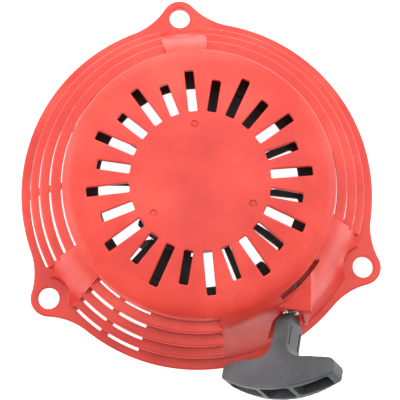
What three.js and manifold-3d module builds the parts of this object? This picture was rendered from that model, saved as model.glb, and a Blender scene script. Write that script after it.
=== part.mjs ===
// Recoil starter for a small vertical-shaft engine. Millimetres, +Z up.
// Origin: crank axis on the mounting plane, the underside of the flange. First ear on +Y.
import * as THREE from 'three';
import * as BufferGeometryUtils from 'three/addons/utils/BufferGeometryUtils.js';
import Module from 'manifold-3d';

const wasm = await Module();
wasm.setup();

const DEG = Math.PI / 180;

// ---- driving dimensions -------------------------------------------------------------
const GAP = 0.3; // clearance between pieces that touch
const ROUND = 60; // steps in a full turn of the large round parts
const FINE = 24; // steps in a full turn of the small round parts

const RIM_R = 101; // flange outer radius
const FLANGE_Z = 5.5; // flange top, its underside is z = 0
const FLANGE_INNER_R = 92.6;
const WALL = 2.2; // moulded wall thickness
const CROWN_WALL = 2.5;

const EAR_PITCH_R = 103.92; // three holes 180 mm apart
const EAR_HOLE_R = 6;
const EAR_R = 10.3;
const EAR_BLEND_R = 38; // concave blend from ear to rim
const EAR_RECESS_R = 12.3; // flat spot round each hole
const EAR_ANGLES = [90, 210, 330];

const CROWN_Z = 50; // top of the cover
const CROWN_FLAT_R = 30; // flat middle, the crown falls away outside it
const SHOULDER_R = 75; // foot of the rounded shoulder
const STEP_R = [81.7, 88.6, 94.8]; // outer face of each step of the side wall, top to bottom
const STEP_Z = [36, 26, 15.8]; // top of the ledge inside each of those faces
const LOUVRE_WIDTH = [1.1, 1.6, 1.5, 1.6]; // slit at the foot of the shoulder and of each face

const SLOT_COUNT = 24;
const SLOT_WIDTH = 5;
const SLOT_INNER_R = 38.3;
const SLOT_LONG_R = 61.8;
const SLOT_SHORT_R = 56.6;
const SLOT_CORNER = 0.8;
const DIMPLE_R = 30.9; // three small ring marks lie on this circle
const DIMPLE = [0.9, 2.2, 0.8]; // inner radius, outer radius and depth of each

const POST_R = 8.4; // fixed axle moulded under the crown
const POST_END_Z = 12;
const POST_ROOT_Z = 48.4;
const SCREW_BORE = [2.7, 36.3]; // radius and top of the screw's hole in the post
const CUP_R = 37.4; // spring cup under the crown
const CUP_END_Z = 29.8;

const BUSHING_WALL = 1.8;
const BUSHING_GAP = 0.2; // running clearance on the post

const REEL_BOTTOM_Z = 7.4;
const REEL_TOP_Z = 27;
const REEL_FLANGE_R = 69;
const REEL_WINDOW_R = 56.3; // inner edge of the reel's rim, at the top
const REEL_WALL_R = 60.8; // inside of the groove wall, below the web
const REEL_DISC_R = 33.5;
const REEL_HUB_R = 13.4;
const REEL_HUB_TOP_Z = 44.2;
const WEB_LOW_Z = 21.5; // spokes, sectors and disc lie between these two heights
const WEB_HIGH_Z = 25.5;
const GROOVE_LOW_Z = 9;
const GROOVE_HIGH_Z = 25.4;
const GROOVE_R = 62.6;

const ROPE_D = 3.6;
const ROPE_LINE_R = 64.4; // the rope lies in one layer at this radius
const TANGENT_ANGLE = -18; // where the rope leaves the reel, seen from above
const EXIT_ANGLE = -13.2; // the boss round the rope exit faces this way, less a quarter turn
const ROPE_START_Z = 12.4; // height of the rope where it leaves the reel
const PULL_PITCH = 13.5; // the rope climbs towards the handle
const TIP_REACH = 58.8; // from the tangent point to the tip of the parked handle
const GUIDE_REACH = 55; // from the tangent point to the middle of the rope guide
const EXIT_WALL = [58.6, 61.6]; // inner and outer face of the wall that holds the rope guide
const EXIT_SIDES = [50, 67]; // inner faces of the boss's two side walls
const NOTCH_ROOT = [54.2, 64.2]; // sides of the handle's notch at the wall
const NOTCH_MOUTH = [50.2, 68.2]; // and where it has opened out
const NOTCH_FLARE = 68; // distance out at which it has
const NOTCH_DROP = 65.6; // the notch is open underneath as far out as this
const NOTCH_FLOOR_Z = 9;

const HANDLE_TILT = 7.5; // the parked handle points up from the pull line by this much
const HANDLE_ROLL = 38; // and leans, right end up
const STEM_HALF = 4.7; // half the stem's width
const TIP_HALF = 3.2; // and at its tip
const TIP_TAPER = 5.5; // length over which the tip widens
const BAR_NEAR = 28.5; // from the tip to the bar's near side
const BAR_HALF = 34; // half the bar's length
const BAR_FAR_END = 39.5; // from the tip to the bar's far side, at its ends
const BAR_FAR_MID = 49; // and in the middle
const BAR_THICK = 17;
const POCKET_FLOOR = 33; // from the tip to the bottom of the bar's pockets

const PAWL_PIVOT_R = 38;
const PAWL_PIVOT_ANGLE = 70;
const PAWL_TIP_R = 44;
const PAWL_TIP_ANGLE = 38;
const PAWL_LOW_Z = 16.6;
const PAWL_HIGH_Z = 19.3;
const PAWL_POST_REACH = 10; // pivot to cam post
const CAM_LOW_Z = 13.2;
const CAM_HIGH_Z = 15.9;
const CAM_LOW_R = 30;
const CAM_LOBE_R = [39.6, 36.3]; // start and end of each lobe
const PIN_R = 2.4;
const PIN_BORE_R = 2.7;
const PIN_ENDS_Z = [16.3, 24.6];
const HAIRPIN_Z = [19.95, 21.03]; // wire's middle at the first and the last turn

// ---- solids -------------------------------------------------------------------------
function toSolid(geometry) {
  let plain = geometry.clone();
  for (const name of Object.keys(plain.attributes)) {
    if (name !== 'position') plain.deleteAttribute(name);
  }
  plain = BufferGeometryUtils.mergeVertices(plain, 1e-4);
  const position = plain.attributes.position;
  const kept = [];
  const index = plain.index.array;
  for (let i = 0; i < index.length; i += 3) {
    const [a, b, c] = [index[i], index[i + 1], index[i + 2]];
    if (a !== b && b !== c && c !== a) kept.push(a, b, c);
  }
  const mesh = new wasm.Mesh({
    numProp: 3,
    vertProperties: new Float32Array(position.array),
    triVerts: new Uint32Array(kept),
  });
  return new wasm.Manifold(mesh);
}

function toGeometry(solid) {
  const mesh = solid.getMesh();
  const geometry = new THREE.BufferGeometry();
  geometry.setAttribute('position', new THREE.BufferAttribute(new Float32Array(mesh.vertProperties), 3));
  geometry.setIndex(new THREE.BufferAttribute(new Uint32Array(mesh.triVerts), 1));
  geometry.computeVertexNormals();
  return geometry;
}

const join = (...solids) => solids.reduce((all, one) => all.add(one));

// Solid of revolution about Z from [radius, z] points that close on themselves or on the axis.
function turned(points, steps = ROUND) {
  const closed = points[0][0] > 0 ? [...points, points[0]] : points;
  const profile = closed.map(([r, z]) => new THREE.Vector2(r, z));
  const geometry = new THREE.LatheGeometry(profile, steps);
  geometry.rotateX(90 * DEG);
  const solid = toSolid(geometry);
  return solid.volume() > 0 ? solid : toSolid(flipped(geometry));
}

function flipped(geometry) {
  const copy = geometry.clone();
  const index = copy.index.array;
  for (let i = 0; i < index.length; i += 3) {
    const keep = index[i];
    index[i] = index[i + 1];
    index[i + 1] = keep;
  }
  return copy;
}

const tube = (inner, outer, low, high, steps = FINE) =>
  turned([[inner, low], [outer, low], [outer, high], [inner, high]], steps);
const rod = (radius, low, high, steps = FINE) =>
  turned([[0, low], [radius, low], [radius, high], [0, high]], steps);

function prism(shape, low, high, curveSegments = 6) {
  const options = { depth: high - low, bevelEnabled: false, curveSegments };
  const geometry = new THREE.ExtrudeGeometry(shape, options);
  geometry.translate(0, 0, low);
  return toSolid(geometry);
}

const polygon = (points) => new THREE.Shape(points.map(([x, y]) => new THREE.Vector2(x, y)));
const polar = (radius, degrees) => [radius * Math.cos(degrees * DEG), radius * Math.sin(degrees * DEG)];

function boxBetween(low, high) {
  const size = high.map((value, k) => value - low[k]);
  const geometry = new THREE.BoxGeometry(...size);
  geometry.translate(...low.map((value, k) => value + size[k] / 2));
  return toSolid(geometry);
}

// Wedge from the axis outwards, past every other solid.
function wedge(from, to, low, high) {
  const count = Math.max(1, Math.ceil((to - from) / 30));
  const points = Array.from({ length: count + 1 }, (_, k) => polar(150, from + ((to - from) * k) / count));
  return prism(polygon([[0, 0], ...points]), low, high);
}

// Ring sector between two radii and two angles.
const sector = (inner, outer, from, to, low, high) =>
  tube(inner, outer, low, high, ROUND).intersect(wedge(from, to, low - 1, high + 1));

const turnedBy = (solid, degrees) => solid.rotate([0, 0, degrees]);

// Wire or rope along a list of points.
function wire(points, diameter, steps, sides, closed = false) {
  const path = new THREE.CatmullRomCurve3(points.map((p) => new THREE.Vector3(...p)), closed);
  const section = new THREE.Shape();
  for (let k = 0; k < sides; k += 1) {
    const [x, y] = polar(diameter / 2, (360 * k) / sides);
    if (k === 0) section.moveTo(x, y);
    else section.lineTo(x, y);
  }
  const geometry = new THREE.ExtrudeGeometry(section, { steps, extrudePath: path, curveSegments: 1 });
  return geometry;
}

// ---- pull line and exit boss: X outwards, Y away from the crank axis, Z up ----------------
function frameFacing(degrees) {
  const [x, y] = polar(1, degrees);
  return new THREE.Matrix4().makeBasis(
    new THREE.Vector3(y, -x, 0),
    new THREE.Vector3(x, y, 0),
    new THREE.Vector3(0, 0, 1),
  );
}

const pullFrame = frameFacing(TANGENT_ANGLE);
const exitFrame = frameFacing(EXIT_ANGLE);
const inExitFrame = (solid) => solid.transform(exitFrame.elements);
const ropeClimb = Math.tan(PULL_PITCH * DEG);
const ropeHeight = (reach) => ROPE_START_Z + reach * ropeClimb;

// ---- housing ------------------------------------------------------------------------
function crownHeight(radius) {
  return CROWN_Z - 0.052 * Math.max(radius - CROWN_FLAT_R, 0) ** 1.25;
}

const crownLine = [0, CROWN_FLAT_R, 46, 64].map((r) => [r, crownHeight(r)]);
const shoulderLine = [[70, 44.2], [73.8, 42.3], [SHOULDER_R, 39.5], [SHOULDER_R, STEP_Z[0]]];
const shoulderInside = [[SHOULDER_R - WALL, 37.6], [71.6, 40], [68.4, 41.6]];

function steppedOutline() {
  const points = [];
  STEP_R.forEach((faceR, k) => {
    const next = k < 2 ? STEP_Z[k + 1] : FLANGE_Z;
    points.push([faceR, STEP_Z[k]], [faceR, next]);
  });
  return points;
}

function steppedInside() {
  const points = [[SHOULDER_R - WALL, STEP_Z[0] - WALL]];
  STEP_R.forEach((faceR, k) => {
    const next = k < 2 ? STEP_Z[k + 1] : 0;
    points.push([faceR - WALL, STEP_Z[k] - WALL], [faceR - WALL, Math.max(next - WALL, 0)]);
  });
  return points;
}

const rampOutline = [[81.3, 35.4], [93.3, 16], [95.6, FLANGE_Z]];
const rampInside = [[71.4, 40.2], [79.4, 34], [91.2, 14.8], [FLANGE_INNER_R, 0]];
const rampSectors = [[81.4, 98.6], [201.4, 217.5], [272.6, 339.4]];

const inRamps = (shrink) => join(...rampSectors.map(([a, b]) => wedge(a + shrink, b - shrink, -2, 60)));

function flangePlate() {
  const shape = new THREE.Shape();
  const blendR = EAR_BLEND_R;
  const reach = RIM_R + blendR;
  const far = blendR + EAR_R;
  const cosine = (reach ** 2 + EAR_PITCH_R ** 2 - far ** 2) / (2 * reach * EAR_PITCH_R);
  const spread = Math.acos(cosine) / DEG;
  const points = [];
  EAR_ANGLES.forEach((angle, k) => {
    const ear = polar(EAR_PITCH_R, angle);
    const before = polar(reach, angle - spread);
    const after = polar(reach, angle + spread);
    const toEar = Math.atan2(ear[1] - before[1], ear[0] - before[0]) / DEG;
    const fromRim = angle - spread + 180;
    const turnIn = ((toEar - fromRim + 540) % 360) - 180;
    for (let i = 0; i <= 4; i += 1) {
      const [x, y] = polar(blendR, fromRim + (turnIn * i) / 4);
      points.push([before[0] + x, before[1] + y]);
    }
    const halfLobe = (((angle - toEar - 180) % 360) + 360) % 360;
    const start = angle - halfLobe;
    const lobe = 2 * halfLobe;
    for (let i = 1; i < 10; i += 1) {
      const [x, y] = polar(EAR_R, start + (lobe * i) / 10);
      points.push([ear[0] + x, ear[1] + y]);
    }
    for (let i = 4; i >= 0; i -= 1) {
      const [x, y] = polar(blendR, angle + spread + 180 - (turnIn * i) / 4);
      points.push([after[0] + x, after[1] + y]);
    }
    const rimFrom = angle + spread;
    const rimTo = EAR_ANGLES[(k + 1) % 3] + (k === 2 ? 360 : 0) - spread;
    for (let i = 1; i < 26; i += 1) points.push(polar(RIM_R, rimFrom + ((rimTo - rimFrom) * i) / 26));
  });
  shape.setFromPoints(points.map(([x, y]) => new THREE.Vector2(x, y)));
  return prism(shape, 0, FLANGE_Z).subtract(rod(FLANGE_INNER_R, -1, FLANGE_Z + 1, ROUND));
}

function ventSlots() {
  const slots = [];
  for (let k = 0; k < SLOT_COUNT; k += 1) {
    const outer = k % 2 === 0 ? SLOT_LONG_R : SLOT_SHORT_R;
    const half = SLOT_WIDTH / 2;
    const c = SLOT_CORNER;
    const outline = [
      [SLOT_INNER_R + c, -half], [outer - c, -half], [outer, -half + c], [outer, half - c],
      [outer - c, half], [SLOT_INNER_R + c, half], [SLOT_INNER_R, half - c], [SLOT_INNER_R, -half + c],
    ];
    slots.push(turnedBy(prism(polygon(outline), 38, CROWN_Z + 5), 90 + (360 / SLOT_COUNT) * k));
  }
  return join(...slots);
}

// Slits at the foot of each wall, interrupted by bridges.
function louvres() {
  const feet = [SHOULDER_R, ...STEP_R];
  const arcs = [[99.8, 124.2], [127, 149.3], [151.7, 173.8], [176.4, 201], [218.8, 229.4], [232.2, 243.8]];
  const rightArcs = [[-19.5, 8.6], [12.2, 42], [44.5, 80.8]];
  const rings = feet.map((foot, k) => {
    const low = k < 3 ? STEP_Z[k] - 6 : -1;
    const high = k < 3 ? STEP_Z[k] + 0.6 : FLANGE_Z + 0.6;
    return tube(foot, foot + LOUVRE_WIDTH[k], low, high, ROUND);
  });
  const wedges = [...arcs, ...rightArcs].map(([from, to]) => wedge(from, to, -5, 60));
  return join(...rings).intersect(join(...wedges));
}

function exitBoss() {
  const innerY = EXIT_SIDES[0] - WALL;
  const outerY = EXIT_SIDES[1] + WALL;
  const face = EXIT_WALL[1];
  const side = polygon([
    [34, 14], [67, 14], [67, 27], [face + 1, 35.4], [face, 36.4], [40, 40.4], [34, 40.4],
  ]);
  const along = new THREE.ExtrudeGeometry(side, { depth: outerY - innerY, bevelEnabled: false });
  along.rotateX(90 * DEG);
  along.translate(0, outerY, 0);
  const section = polygon([
    [innerY - 3, 14], [outerY, 14], [outerY, 36], [outerY - 3.5, 40.6], [innerY + 5, 40.6], [innerY, 35],
  ]);
  const across = new THREE.ExtrudeGeometry(section, { depth: 40, bevelEnabled: false });
  across.applyMatrix4(new THREE.Matrix4().makeBasis(
    new THREE.Vector3(0, 1, 0), new THREE.Vector3(0, 0, 1), new THREE.Vector3(1, 0, 0),
  ));
  across.translate(30, 0, 0);
  return toSolid(along).intersect(toSolid(across));
}

function makeHousing() {
  const crownInside = crownLine.slice().reverse().map(([r, z]) => [r, z - CROWN_WALL]);
  crownInside.pop();
  const crown = turned([
    ...crownLine, ...shoulderLine, [SHOULDER_R, STEP_Z[0] - WALL], [SHOULDER_R - WALL, STEP_Z[0] - WALL],
    ...shoulderInside, ...crownInside, [0, CROWN_Z - CROWN_WALL],
  ]);
  const steps = turned([
    [SHOULDER_R, STEP_Z[0]], ...steppedOutline(), [STEP_R[2], 0], ...steppedInside().reverse(),
  ]);
  const ramp = turned([[70.6, 43.2], ...rampOutline, [95.6, 0], ...rampInside.slice().reverse()]);
  const underRamp = turned([[0, 0], [98, 0], [95.8, FLANGE_Z], [93.3, 16], [81.3, 35.4], [0, 40]]);
  let body = join(crown, steps.subtract(inRamps(0.7)), ramp.intersect(inRamps(0)), flangePlate());

  EAR_ANGLES.forEach((angle) => {
    const [x, y] = polar(EAR_PITCH_R, angle);
    const pad = rod(EAR_RECESS_R + WALL, 0, 40).translate([x, y, 0]).intersect(underRamp);
    body = body.add(pad);
  });
  EAR_ANGLES.forEach((angle) => {
    const [x, y] = polar(EAR_PITCH_R, angle);
    body = body.subtract(rod(EAR_RECESS_R, FLANGE_Z, 40).translate([x, y, 0]));
    body = body.subtract(rod(EAR_HOLE_R, -1, 10).translate([x, y, 0]));
  });

  // Rope exit: a boss with a duct inside, a wall with a hole, and a notch for the handle's stem.
  const [low, high] = EXIT_SIDES;
  const reelSpace = rod(72.4, -1, 33.8, ROUND);
  const cheeks = inExitFrame(boxBetween([40, low - WALL, 0.5], [92, high + WALL, 40])).intersect(underRamp);
  const insideShell = turned([[0, -1], [70, -1], [70, 44], [0, 44]]);
  body = body.add(inExitFrame(exitBoss()).subtract(insideShell).subtract(reelSpace));
  body = body.add(cheeks.subtract(reelSpace).subtract(insideShell));
  const duct = inExitFrame(boxBetween([30, low, 17], [EXIT_WALL[0], high, 33.6]));
  const underDuct = inExitFrame(boxBetween([30, low, -1], [EXIT_WALL[0], high, 14.6]));
  const notchPlan = polygon([
    [EXIT_WALL[1], NOTCH_ROOT[1]], [EXIT_WALL[1], NOTCH_ROOT[0]], [NOTCH_FLARE, NOTCH_MOUTH[0]],
    [110, NOTCH_MOUTH[0] - 3], [110, NOTCH_MOUTH[1]], [NOTCH_FLARE, NOTCH_MOUTH[1]],
  ]);
  const notch = inExitFrame(prism(notchPlan, NOTCH_FLOOR_Z, 60));
  const [rootLow, rootHigh] = NOTCH_ROOT;
  const dropHigh = [NOTCH_DROP, rootHigh, NOTCH_FLOOR_Z + 1];
  const underNotch = inExitFrame(boxBetween([EXIT_WALL[1], rootLow, -1], dropHigh));
  body = body.subtract(duct.subtract(insideShell)).subtract(underDuct.subtract(insideShell));
  body = body.subtract(notch).subtract(underNotch);
  const hole = new THREE.CylinderGeometry(4.6, 4.6, 14, 24).rotateZ(90 * DEG).rotateY(-PULL_PITCH * DEG)
    .translate(GUIDE_REACH, ROPE_LINE_R, ropeHeight(GUIDE_REACH)).applyMatrix4(pullFrame);
  body = body.subtract(toSolid(hole));
  body = body.subtract(sector(SHOULDER_R, SHOULDER_R + 2.6, -60.6, -38.6, 30, 46));

  body = body.subtract(louvres()).subtract(ventSlots());
  EAR_ANGLES.forEach((angle) => {
    const [x, y] = polar(DIMPLE_R, angle);
    const dish = tube(DIMPLE[0], DIMPLE[1], CROWN_Z - DIMPLE[2], CROWN_Z + 2, 16);
    body = body.subtract(dish.translate([x, y, 0]));
  });

  const [boreR, boreTop] = SCREW_BORE;
  const post = turned([
    [0, boreTop], [boreR, boreTop], [boreR, POST_END_Z], [POST_R, POST_END_Z], [POST_R, 44],
    [13, POST_ROOT_Z - 0.4], [0, POST_ROOT_Z],
  ], FINE);
  body = join(body, post, tube(CUP_R - WALL, CUP_R, CUP_END_Z, POST_ROOT_Z + 0.2, ROUND));
  return toGeometry(body);
}

// ---- exit guide, spring, bushing ---------------------------------------------------------
function makeEyelet() {
  const profile = [
    [2.4, -2.6], [4, -2.6], [4.3, -2], [4.3, 2], [4, 2.6], [2.4, 2.6], [2.1, 1.8], [2.1, -1.8],
  ];
  return toGeometry(turned(profile, 24));
}

function makeMainspring() {
  const turns = 6;
  const inner = 14.6;
  const outer = 34.2;
  const stepCount = 96;
  const half = 0.32;
  const left = [];
  const right = [];
  for (let k = 0; k <= stepCount; k += 1) {
    const share = k / stepCount;
    const angle = 360 * turns * share;
    const radius = inner + (outer - inner) * share ** 1.15;
    left.push(polar(radius + half, angle));
    right.push(polar(radius - half, angle));
  }
  return toGeometry(prism(polygon([...left, ...right.reverse()]), 31.2, 42.4));
}

function makeSpringCover() {
  return toGeometry(tube(14, CUP_R, 28.4, CUP_END_Z - GAP, ROUND));
}

const bushingR = POST_R + BUSHING_GAP + BUSHING_WALL;
const makeBushing = () => toGeometry(tube(POST_R + BUSHING_GAP, bushingR, 17.4, 43));

// ---- reel -------------------------------------------------------------------------------
// Angles of the spokes and of the solid sector on one half; the other half is the same, turned by 180.
const SPOKE_EDGES = [17, -12, -43, -73.5];
const SPOKE_SPAN = 5;
const SECTOR_FROM = 42;
const SECTOR_TO = 82;
const SECTOR_INNER_R = 39;
const KNOT_ANGLE = -61;
const KNOT_R = 57.85;
const KNOT_Z = 14.5;

function reelWindows() {
  const cuts = [];
  const low = WEB_LOW_Z - 1;
  const high = WEB_HIGH_Z + 1;
  for (const turn of [0, 180]) {
    const edges = [SECTOR_FROM, ...SPOKE_EDGES, SECTOR_TO - 180];
    for (let k = 0; k < edges.length - 1; k += 1) {
      const to = edges[k];
      const from = edges[k + 1] + (k === edges.length - 2 ? 0 : SPOKE_SPAN);
      cuts.push(turnedBy(sector(REEL_DISC_R, REEL_WINDOW_R, from, to, low, high), turn));
    }
    cuts.push(turnedBy(sector(REEL_DISC_R, SECTOR_INNER_R, SECTOR_FROM - 1, 63, low, high), turn));
    cuts.push(turnedBy(sector(REEL_DISC_R, SECTOR_INNER_R, 76, SECTOR_TO + 1, low, high), turn));
    const chamfer = [polar(38.8, 41), polar(46.4, 40), polar(46.4, 42), polar(39, 47.6)];
    cuts.push(turnedBy(prism(polygon(chamfer), low, high), turn));
  }
  return join(...cuts);
}

// Hub, disc and spokes. The rim round them is a solid of its own, a clearance away.
function makeReel() {
  const hubR = bushingR + GAP;
  const edgeR = REEL_WINDOW_R - GAP;
  const body = turned([
    [hubR, WEB_LOW_Z], [edgeR, WEB_LOW_Z], [edgeR, WEB_HIGH_Z], [REEL_HUB_R, WEB_HIGH_Z],
    [REEL_HUB_R, REEL_HUB_TOP_Z], [hubR, REEL_HUB_TOP_Z],
  ]);
  let reel = body.subtract(reelWindows());
  const [px, py] = polar(PAWL_PIVOT_R, PAWL_PIVOT_ANGLE);
  for (const turn of [0, 180]) {
    const boss = rod(4.6, WEB_LOW_Z + 0.5, WEB_HIGH_Z).translate([px, py, 0]);
    const hole = rod(PIN_BORE_R, CAM_LOW_Z, WEB_HIGH_Z - 0.6).translate([px, py, 0]);
    reel = reel.add(turnedBy(boss, turn)).subtract(turnedBy(hole, turn));
  }
  // Stop that the spring's inner hook bears on.
  return toGeometry(reel.subtract(sector(bushingR, 20, -6, 6, 31, REEL_HUB_TOP_Z + 1)));
}

// Groove for the rope between two flanges, and a pocket for the rope's knot on the inside of its wall.
function makeReelRim() {
  const body = turned([
    [REEL_WALL_R, REEL_BOTTOM_Z], [REEL_FLANGE_R, REEL_BOTTOM_Z], [REEL_FLANGE_R, GROOVE_LOW_Z],
    [GROOVE_R, GROOVE_LOW_Z], [GROOVE_R, GROOVE_HIGH_Z], [REEL_FLANGE_R, GROOVE_HIGH_Z],
    [REEL_FLANGE_R, REEL_TOP_Z], [REEL_WINDOW_R, REEL_TOP_Z], [REEL_WINDOW_R, WEB_HIGH_Z],
    [REEL_WALL_R, WEB_LOW_Z],
  ]);
  const around = (inner, outer, half, low, high) =>
    sector(inner, outer, KNOT_ANGLE - half, KNOT_ANGLE + half, low, high);
  const knotHole = around(57, 65, 3, 11, 18);
  const pocketWall = around(53.4, 61.5, 6.5, REEL_BOTTOM_Z, 20.6);
  const pocket = around(55.2, 60.5, 4.6, GROOVE_LOW_Z + 0.4, WEB_LOW_Z);
  return toGeometry(body.add(pocketWall).subtract(pocket).subtract(knotHole));
}

const makeWoundRope = () => {
  const inner = ROPE_LINE_R - ROPE_D / 2 + 0.05;
  const outer = ROPE_LINE_R + ROPE_D / 2;
  return toGeometry(turned([
    [inner, GROOVE_LOW_Z + GAP], [outer - 0.6, GROOVE_LOW_Z + GAP], [outer, GROOVE_LOW_Z + 1],
    [outer, GROOVE_HIGH_Z - 1], [outer - 0.6, GROOVE_HIGH_Z - GAP], [inner, GROOVE_HIGH_Z - GAP],
  ]));
};

const knotSolid = (radius) => new THREE.SphereGeometry(radius, 14, 10);

// ---- ratchet ------------------------------------------------------------------------------
const pivot = polar(PAWL_PIVOT_R, PAWL_PIVOT_ANGLE);
const tip = polar(PAWL_TIP_R, PAWL_TIP_ANGLE);
const pawlLength = Math.hypot(tip[0] - pivot[0], tip[1] - pivot[1]);
const pawlHeading = Math.atan2(tip[1] - pivot[1], tip[0] - pivot[0]) / DEG;

// Drawn with the pivot at the origin and the tip on +X, +Y pointing away from the crank.
function pawlSolid() {
  const nose = pawlLength;
  const outline = new THREE.Shape();
  outline.absarc(0, 0, 4.8, 70 * DEG, 290 * DEG, false);
  outline.lineTo(nose - 5, -3.4);
  outline.lineTo(nose, -1.2);
  outline.lineTo(nose + 0.4, 3);
  outline.lineTo(nose - 3, 3.8);
  outline.quadraticCurveTo(10, 5.2, 1.64, 4.51);
  const post = rod(2.2, 13.4, PAWL_LOW_Z + 1, 20).translate([PAWL_POST_REACH, 0, 0]);
  const bore = rod(PIN_BORE_R, PAWL_LOW_Z - 1, PAWL_HIGH_Z + 1, 20);
  return prism(outline, PAWL_LOW_Z, PAWL_HIGH_Z, 10).subtract(bore).add(post);
}

const placeAtPivot = (solid, turn) =>
  turnedBy(turnedBy(solid, pawlHeading).translate([pivot[0], pivot[1], 0]), turn);

const pinSolid = () => rod(PIN_R, ...PIN_ENDS_Z, 20);

function pawlSpring() {
  const loop = 3.3;
  const [low, high] = HAIRPIN_Z;
  const points = [[-8, -4.2, low], [-5, -loop - 0.5, low]];
  const steps = 12;
  for (let k = 0; k <= steps; k += 1) {
    const [x, y] = polar(loop, 270 - 45 * k);
    points.push([x, y, low + ((high - low) * k) / steps]);
  }
  points.push([6, loop, high], [12.4, 2.9, high]);
  return wire(points, 0.7, 44, 6);
}

function camRadius(angle) {
  const a = ((angle % 180) + 180) % 180;
  const [start, end] = CAM_LOBE_R;
  if (a >= 24 && a <= 57) return start + ((a - 24) / 33) * (end - start);
  if (a > 57 && a < 64) return end + ((a - 57) / 7) * (CAM_LOW_R - end);
  if (a > 14 && a < 24) return CAM_LOW_R + ((a - 14) / 10) * (start - CAM_LOW_R);
  return CAM_LOW_R;
}

function makeRatchetGuide() {
  const points = [];
  for (let angle = 0; angle < 360; angle += 5) points.push(polar(camRadius(angle), angle));
  const plate = prism(polygon(points), CAM_LOW_Z, CAM_HIGH_Z);
  const hub = rod(11.6, CAM_LOW_Z - 0.9, 17.1);
  const windows = [0, 90, 180, 270].map((angle) => sector(17, 25, angle - 4, angle + 40, 10, 20));
  return toGeometry(join(plate, hub).subtract(rod(POST_R + 0.4, 5, 30)).subtract(join(...windows)));
}

function makeBrakeSpring() {
  const turns = 2.2;
  const count = 26;
  const points = [];
  for (let k = 0; k <= count; k += 1) {
    const [x, y] = polar(14, (360 * turns * k) / count);
    points.push([x, y, 16.9 + (3.8 * k) / count]);
  }
  return wire(points, 1.1, 44, 6);
}

// Sits between the end of the post and the screw's flange.
const makeWasher = () => toGeometry(tube(2.9, 14.5, POST_END_Z - GAP - 1, POST_END_Z - GAP));

function makeScrew() {
  const head = prism(polygon([0, 1, 2, 3, 4, 5].map((k) => polar(5.6, 60 * k))), 6.4, 10.2);
  const shank = rod(2.45, 9.5, 33, 20);
  return toGeometry(join(head, shank, rod(7, 9, 10.4)));
}

// ---- handle: X from the stem's tip outwards, Y along the bar, Z through its thickness -------
function gripOutline(inset) {
  const shape = new THREE.Shape();
  const stem = STEM_HALF - inset;
  const point = TIP_HALF - inset * 0.5;
  const end = BAR_HALF - inset;
  const near = BAR_NEAR + inset;
  shape.moveTo(inset, -point);
  shape.lineTo(inset, point);
  shape.lineTo(TIP_TAPER, stem);
  shape.lineTo(near - 9, stem);
  shape.quadraticCurveTo(near - 0.6, stem + 0.6, near, stem + 9);
  shape.lineTo(near + 1, end - 4);
  shape.quadraticCurveTo(near + 1.2, end, near + 5, end);
  shape.lineTo(BAR_FAR_END - inset, end);
  shape.quadraticCurveTo(BAR_FAR_MID + 5 - inset, 0, BAR_FAR_END - inset, -end);
  shape.lineTo(near + 5, -end);
  shape.quadraticCurveTo(near + 1.2, -end, near + 1, -end + 4);
  shape.lineTo(near, -stem - 9);
  shape.quadraticCurveTo(near - 0.6, -stem - 0.6, near - 9, -stem);
  shape.lineTo(TIP_TAPER, -stem);
  return shape;
}

// Closed band between a line and its mirror image.
const mirroredBand = (line) => polygon([...line, ...line.map(([x, y]) => [x, -y]).reverse()]);

function gripSolid() {
  const bevel = 2.2;
  const depth = BAR_THICK;
  const options = {
    depth: depth - 2 * bevel, bevelEnabled: true, bevelThickness: bevel, bevelSize: bevel, bevelSegments: 2,
    curveSegments: 8,
  };
  const blank = new THREE.ExtrudeGeometry(gripOutline(bevel), options);
  blank.translate(0, 0, -depth / 2 + bevel);
  // Side view: slim at the tip, deep at the root of the stem, thinner again towards the bar's ends.
  const half = depth / 2;
  const side = mirroredBand([[-1, TIP_HALF], [TIP_TAPER, 7.6], [BAR_NEAR - 1, 7.8], [34, half], [60, half]]);
  const sideGeometry = new THREE.ExtrudeGeometry(side, { depth: 100, bevelEnabled: false });
  sideGeometry.rotateX(90 * DEG).translate(0, 50, 0);
  const front = mirroredBand([[-50, 5], [-BAR_HALF, 6], [-14, half], [14, half], [BAR_HALF, 6], [50, 5]]);
  const frontGeometry = new THREE.ExtrudeGeometry(front, { depth: 80, bevelEnabled: false });
  frontGeometry.applyMatrix4(new THREE.Matrix4().makeBasis(
    new THREE.Vector3(0, 1, 0), new THREE.Vector3(0, 0, 1), new THREE.Vector3(1, 0, 0),
  ));
  frontGeometry.translate(-5, 0, 0);
  let grip = toSolid(blank).intersect(toSolid(sideGeometry)).intersect(toSolid(frontGeometry));
  // Pockets open at the far side, with ribs left between them; the middle one takes the knot.
  const pockets = [[-29, -10], [-6.6, 6.6], [10, 29]];
  pockets.forEach(([from, to]) => {
    const thick = Math.abs(from + to) < 1 ? 5.6 : 4;
    grip = grip.subtract(boxBetween([POCKET_FLOOR, from, -thick], [70, to, thick]));
  });
  const bore = new THREE.CylinderGeometry(2.2, 2.2, 60, 20).rotateZ(90 * DEG).translate(20, 0, 0);
  return grip.subtract(toSolid(bore));
}

// ---- assembly -----------------------------------------------------------------------------
const red = { color: 0xe8382f, roughness: 0.45, metalness: 0 };
const black = { color: 0x1c1c1e, roughness: 0.55, metalness: 0 };
const grey = { color: 0x3c3d40, roughness: 0.6, metalness: 0 };
const rope = { color: 0xd8d4cc, roughness: 0.9, metalness: 0 };
const steel = { color: 0xa8abae, roughness: 0.35, metalness: 1 };
const springSteel = { color: 0x4b4e55, roughness: 0.4, metalness: 1 };
const brass = { color: 0xb08d4a, roughness: 0.4, metalness: 1 };
const nylon = { color: 0x8c8f94, roughness: 0.5, metalness: 0 };

const starter = new THREE.Group();

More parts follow.
